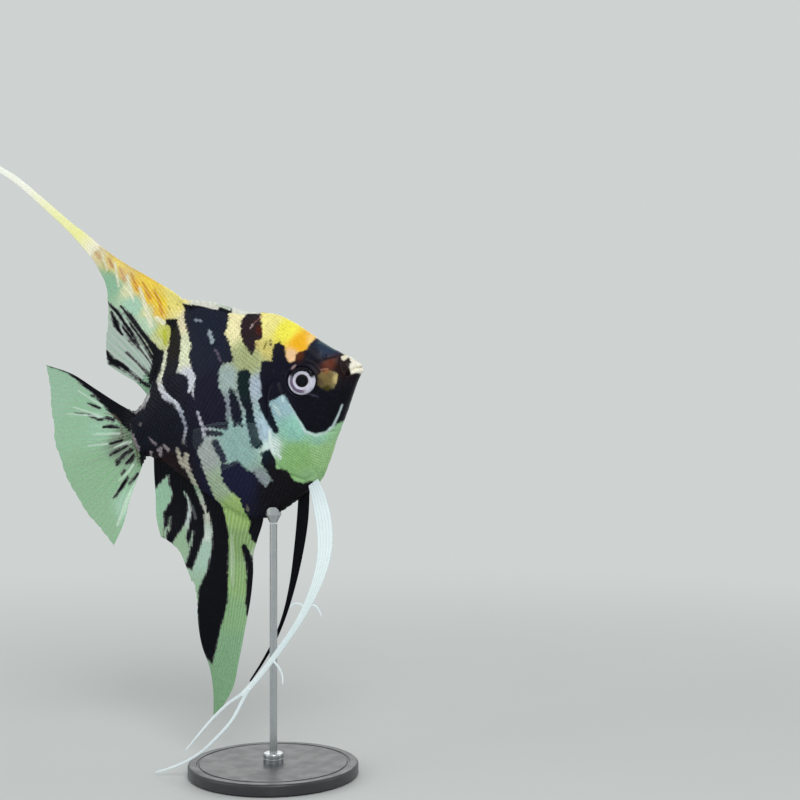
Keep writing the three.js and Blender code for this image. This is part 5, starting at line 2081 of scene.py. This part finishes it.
@dataclass(frozen=True)
class Eye:
    """An eyeball: a painted globe with a bulging pupil under a clear window.

    Attributes:
        pupil: The pupil's radius, in mm.
        bulge: How far its middle lies outside the eye's centre.
        drop: How far its edge lies behind its middle.
        iris_end: Where the iris meets the dark rim, in mm from the middle.
        iris_front: How far the iris's edges lie outside the eye's centre.
        swell: How far the iris swells between them, at which distance from the middle and how broadly.
        back: The globe's [radius, height] points behind the iris.
        rim: The window's radius.
        front: How far the window's middle lies outside the eye's centre.
        edge: How far its rim does.
        window: The window's thickness at its middle.
        dusk_turn: How far down from the eye's rear the dusky crescent's middle lies, in radians.
        veil_turn: How far up from the eye's rear the black veil's middle lies.
        map_width: How many mm one half of the map is wide.
        steps: Faces round the eye.
    """

    side: Side
    pupil: float = 1.95
    bulge: float = 1.9
    drop: float = 0.62
    iris_end: float = 4.1
    iris_front: float = 1.02
    swell: tuple[float, float, float] = (0.42, 3.3, 1.1)
    back: Pairs = ((4.42, 1.02), (4.5, 0.8), (4.5, 0.4), (4, -1.2), (2.6, -2.2), (0, -2.6))
    rim: float = 4.42
    front: float = 2.62
    edge: float = 1.3
    window: float = 0.12
    dusk_turn: float = 0.45
    veil_turn: float = 1.85
    map_width: float = 12
    steps: int = 144

    def turned(self, name: str, profile: Pairs, material: Material, nodes: Sequence[str] = ()) -> None:
        """Spins a piece of the eye and puts it in its place.

        Args:
            name: The piece's name, without its side.
            profile: [radius, height] points, the height towards the eye's front.
            material: What it is made of.
            nodes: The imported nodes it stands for.
        """
        mesh = spun(f"{name}_{self.side.value}", profile, self.steps)
        along, up, out = vertex_array(mesh).T
        turn = np.arctan2(up, along)
        store(mesh, reach=np.hypot(along, up), fibre=np.sin(24 * turn), low=np.cos(turn + self.dusk_turn),
              high=np.cos(turn - self.veil_turn))
        unwrap(mesh, 0.5 + along / self.map_width, 0.5 + up / self.map_width, np.sign(out - 0.2))
        cos, sin = math.cos(EYE.turn), math.sin(EYE.turn)
        y = EYE.y + out * cos + along * sin
        move_vertices(mesh, FISH.place(EYE.s + along * cos - out * sin, EYE.h + up, self.side.sign * y))
        face_outwards(mesh)
        piece(mesh, material, nodes)

    def build(self) -> None:
        """Makes the globe, its iris sunk a little round the pupil, and the thin dome over it."""
        behind = self.bulge - self.drop
        pupil = [(self.pupil * math.sin(t), behind + self.drop * math.cos(t))
                 for t in np.linspace(0, math.pi / 2, 9)]
        high, at, broad = self.swell
        ring = [(r, self.iris_front + high * float(hump(r - at, broad)))
                for r in np.linspace(self.pupil + 0.02, self.iris_end, 16)]
        self.turned("eyeball", pupil + ring + list(self.back), IRIS, (f"eye_{self.side.value}",))
        radii = np.linspace(0, self.rim, 22)
        dome = [(r, self.edge + (self.front - self.edge) * (1 - (r / self.rim) ** 2) ** 0.8) for r in radii]
        inner = [(r * 0.985, z - self.window * (1 - (r / self.rim) ** 4)) for r, z in reversed(dome)]
        self.turned("eye_window", dome + inner[1:], EYE_WINDOW)


# ---- stand ----
@dataclass(frozen=True)
class PaintFinish:
    """The base's satin charcoal paint, with a fine orange-peel and a little dust."""

    charcoal: Colour = (38, 40, 44)
    dust: Colour = (78, 80, 82)

    def make(self) -> Material:
        """Makes the material.

        Returns:
            The material.
        """
        sheet = Sheet("stand paint", Coat_Weight=0.2, Coat_Roughness=0.25)
        dust = sheet.ranged(sheet.noise(9, 4), 0.5, 0.85, 0, 0.3)
        sheet.set("Base Color", sheet.mixed(dust, self.charcoal, self.dust))
        sheet.set("Roughness", sheet.ranged(sheet.noise(5, 3), 0.3, 0.7, 0.36, 0.5))
        sheet.bump(sheet.noise(0.9), 0.03, 0.6)
        return sheet.material


@dataclass(frozen=True)
class SteelFinish:
    """Brushed stainless steel, its lines running round the piece."""

    tones: tuple[Colour, Colour] = ((178, 181, 184), (196, 198, 199))
    brushing: tuple[float, float, float] = (0.05, 0.05, 1)

    def make(self) -> Material:
        """Makes the material.

        Returns:
            The material.
        """
        sheet = Sheet("stand steel", Metallic=1.0)
        line = sheet.noise(0.12, 2, self.brushing)
        sheet.set("Base Color", sheet.mixed(sheet.noise(4, 3), *self.tones))
        sheet.set("Roughness", sheet.ranged(line, 0.3, 0.7, 0.26, 0.34))
        sheet.bump(line, 0.003, 0.4)
        return sheet.material


def rounded(radius: float, height: float, reach: float, steps: int) -> list[tuple[float, float]]:
    """A rounded outer edge's [radius, height] points, from its side to its top."""
    turns = [(1 - math.cos(t), 1 - math.sin(t)) for t in np.linspace(0, math.pi / 2, steps)]
    return [(radius - reach * across, height - reach * down) for across, down in turns]


@dataclass(frozen=True)
class Stand:
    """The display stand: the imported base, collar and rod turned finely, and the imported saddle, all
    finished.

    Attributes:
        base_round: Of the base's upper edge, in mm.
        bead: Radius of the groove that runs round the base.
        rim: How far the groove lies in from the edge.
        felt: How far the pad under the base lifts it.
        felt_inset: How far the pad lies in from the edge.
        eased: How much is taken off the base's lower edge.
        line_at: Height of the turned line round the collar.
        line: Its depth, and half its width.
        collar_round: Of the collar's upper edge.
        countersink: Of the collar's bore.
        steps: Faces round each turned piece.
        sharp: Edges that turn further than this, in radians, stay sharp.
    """

    base_round: float = 0.8
    bead: float = 0.5
    rim: float = 3.2
    felt: float = 0.6
    felt_inset: float = 0.9
    eased: float = 0.25
    line_at: float = 1.35
    line: float = 0.15
    collar_round: float = 0.5
    countersink: float = 0.1
    steps: int = 160
    sharp: float = math.radians(35)

    def turned(self, node: str, profile: Pairs, material: Material) -> None:
        """Spins a piece about the stand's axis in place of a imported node.

        Args:
            node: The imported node.
            profile: [radius, height] points in mm.
            material: What the piece is made of.
        """
        mesh = spun(f"{node}_turned", profile, self.steps)
        move_vertices(mesh, vertex_array(mesh) * MM)
        face_outwards(mesh)
        mesh.set_sharp_from_angle(angle=self.sharp)
        piece(mesh, material, (node,))

    def build(self) -> None:
        """Base, collar and rod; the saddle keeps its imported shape."""
        paint, steel = PaintFinish().make(), SteelFinish().make()
        base, collar, rod = (np.array(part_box(f"stand_{name}")) / MM for name in ("base", "collar", "rod"))
        (radius, _, thick), (out, _, head), (thin, _, top), foot = base[1], collar[1], rod[1], collar[0][2]
        inset, sunk = radius - self.rim, self.bead * 0.7
        turns = np.linspace(0, math.pi, 7)
        cut = [(inset + self.bead * math.cos(t), thick - sunk * math.sin(t)) for t in turns]
        pad = [(0, 0), (radius - self.felt_inset, 0), (radius - self.felt_inset, self.felt)]
        under = [(radius - self.eased, self.felt), (radius, self.felt + self.eased)]
        edge = rounded(radius, thick, self.base_round, 7)
        self.turned("stand_base", pad + under + edge + cut + [(0, thick)], paint)
        notch = [(out - self.line * deep, foot + self.line_at + self.line * up)
                 for deep, up in ((0, -1), (1, 0), (0, 1))]
        bore = [(thin + self.countersink, head), (thin, head - self.countersink), (thin, foot)]
        sleeve = [(thin, foot), (out, foot)] + notch + rounded(out, head, self.collar_round, 6) + bore
        self.turned("stand_collar", sleeve, steel)
        self.turned("stand_rod", [(0, foot), (thin, foot), (thin, top), (0, top)], steel)
        saddle = frame["nodes"]["stand_saddle"]
        saddle.data.materials.clear()
        saddle.data.materials.append(steel)


# ---- studio ----
@dataclass(frozen=True)
class Lamp:
    """A soft square lamp, its place and side in metres and its power in watts."""

    name: str
    place: tuple[float, float, float]
    size: float
    watts: float

    def build(self, target: Sequence[float]) -> None:
        """Hangs the lamp and turns it.

        Args:
            target: What it looks at.
        """
        data = bpy.data.lights.new(self.name, "AREA")
        data.size, data.energy = self.size, self.watts
        made = bpy.data.objects.new(self.name, data)
        made.location = self.place
        made.rotation_euler = (Vector(target) - Vector(self.place)).to_track_quat("-Z", "Y").to_euler()
        bpy.context.scene.collection.objects.link(made)


LAMPS = (
    Lamp("key", (0.4, -0.75, 0.8), 0.45, 5.0),
    Lamp("fill", (-0.75, -0.6, 0.4), 0.6, 1.8),
    Lamp("back", (-0.35, 0.8, 0.6), 0.6, 2.2),
    Lamp("nose", (0.9, 0.25, 0.4), 0.5, 1.2),
)


@dataclass(frozen=True)
class Studio:
    """Floor, backdrop, lamps and camera.

    Attributes:
        backdrop: The floor's and the backdrop's colour.
        fade: Between which distances from the stand the floor turns into the backdrop, in metres.
        camera_turn: How far the camera stands round from looking along +Y.
        lens: The camera's focal length, in mm.
        film: How wide the film behind it is.
        nearest: The closest thing the camera takes in, in metres.
        sky: The strength of the even light from all round.
    """

    backdrop: Colour = (206, 211, 210)
    floor_radius: float = 6
    fade: tuple[float, float] = (0.16, 0.6)
    camera_place: tuple[float, float, float] = (0.17567, -0.41057, 0.11894)
    camera_turn: float = math.radians(18)
    lens: float = 63
    film: float = 36
    nearest: float = 0.01
    sky: float = 0.42

    def build(self) -> None:
        """Sets the stage."""
        self.floor()
        self.world()
        middle = [(a + b) / 2 for a, b in zip(*CAD_BOX)]
        for lamp in LAMPS:
            lamp.build(middle)
        camera = bpy.data.objects.new("camera", bpy.data.cameras.new("camera"))
        camera.data.lens, camera.data.sensor_width = self.lens, self.film
        camera.data.clip_start = self.nearest
        camera.location = self.camera_place
        camera.rotation_euler = (math.pi / 2, 0, self.camera_turn)
        bpy.context.scene.collection.objects.link(camera)
        bpy.context.scene.camera = camera
        bpy.context.scene.view_settings.view_transform = "Standard"

    def floor(self) -> None:
        """Lays a pale floor that fades into the backdrop away from the stand."""
        bm = bmesh.new()
        bmesh.ops.create_circle(bm, cap_ends=True, segments=96, radius=self.floor_radius)
        mesh = meshed(bm, "floor")
        sheet = Sheet("floor", Roughness=0.9, Specular_IOR_Level=0.1)
        lit = tuple(c + 3 for c in self.backdrop)
        sheet.set("Base Color", sheet.mixed(sheet.noise(60, 3), self.backdrop, lit))
        away = sheet.node("VectorMath", {0: sheet.object_place}, "Value", operation="LENGTH")
        far = sheet.times(sheet.ranged(away, *self.fade), sheet.viewed())
        sheet.blend_out(far, sheet.shader.outputs[0], sheet.node("Emission", {"Color": self.backdrop}))
        mesh.materials.append(sheet.material)
        made = bpy.data.objects.new("floor", mesh)
        bpy.context.scene.collection.objects.link(made)

    def world(self) -> None:
        """Even white light from all round; the camera sees the backdrop's colour."""
        world = bpy.data.worlds.new("studio")
        bpy.context.scene.world = world
        world.use_nodes = True
        tree = Nodes(world.node_tree)
        sky = tree.node("Background", {"Color": (255, 255, 255), "Strength": self.sky})
        tree.blend_out(tree.viewed(), sky, tree.node("Background", {"Color": self.backdrop}))


def main() -> None:
    """Builds the studio, the stand and the fish in order."""
    logging.basicConfig(level=logging.INFO, format="%(message)s")
    Studio().build()
    Stand().build()
    skin = Skin()
    skin.build()
    for side in Side:
        Eye(side).build()
        FlankScales(f"scales_{side.value}", along=1.45, across=0.92, length=2.3, width=1.95, lift=0.11,
                    skin=skin, side=side, area=trunk_area, seed=31).build()
        FlankScales(f"head_scales_{side.value}", along=0.95, across=0.62, length=1.5, width=1.3, lift=0.06,
                    sink=0.1, thick=0.05, skin=skin, side=side, area=head_area, seed=32).build()
    for part in MEDIAN_FINS + PELVIC_FINS + PECTORAL_FINS:
        part.build()


if __name__ == "__main__":
    main()
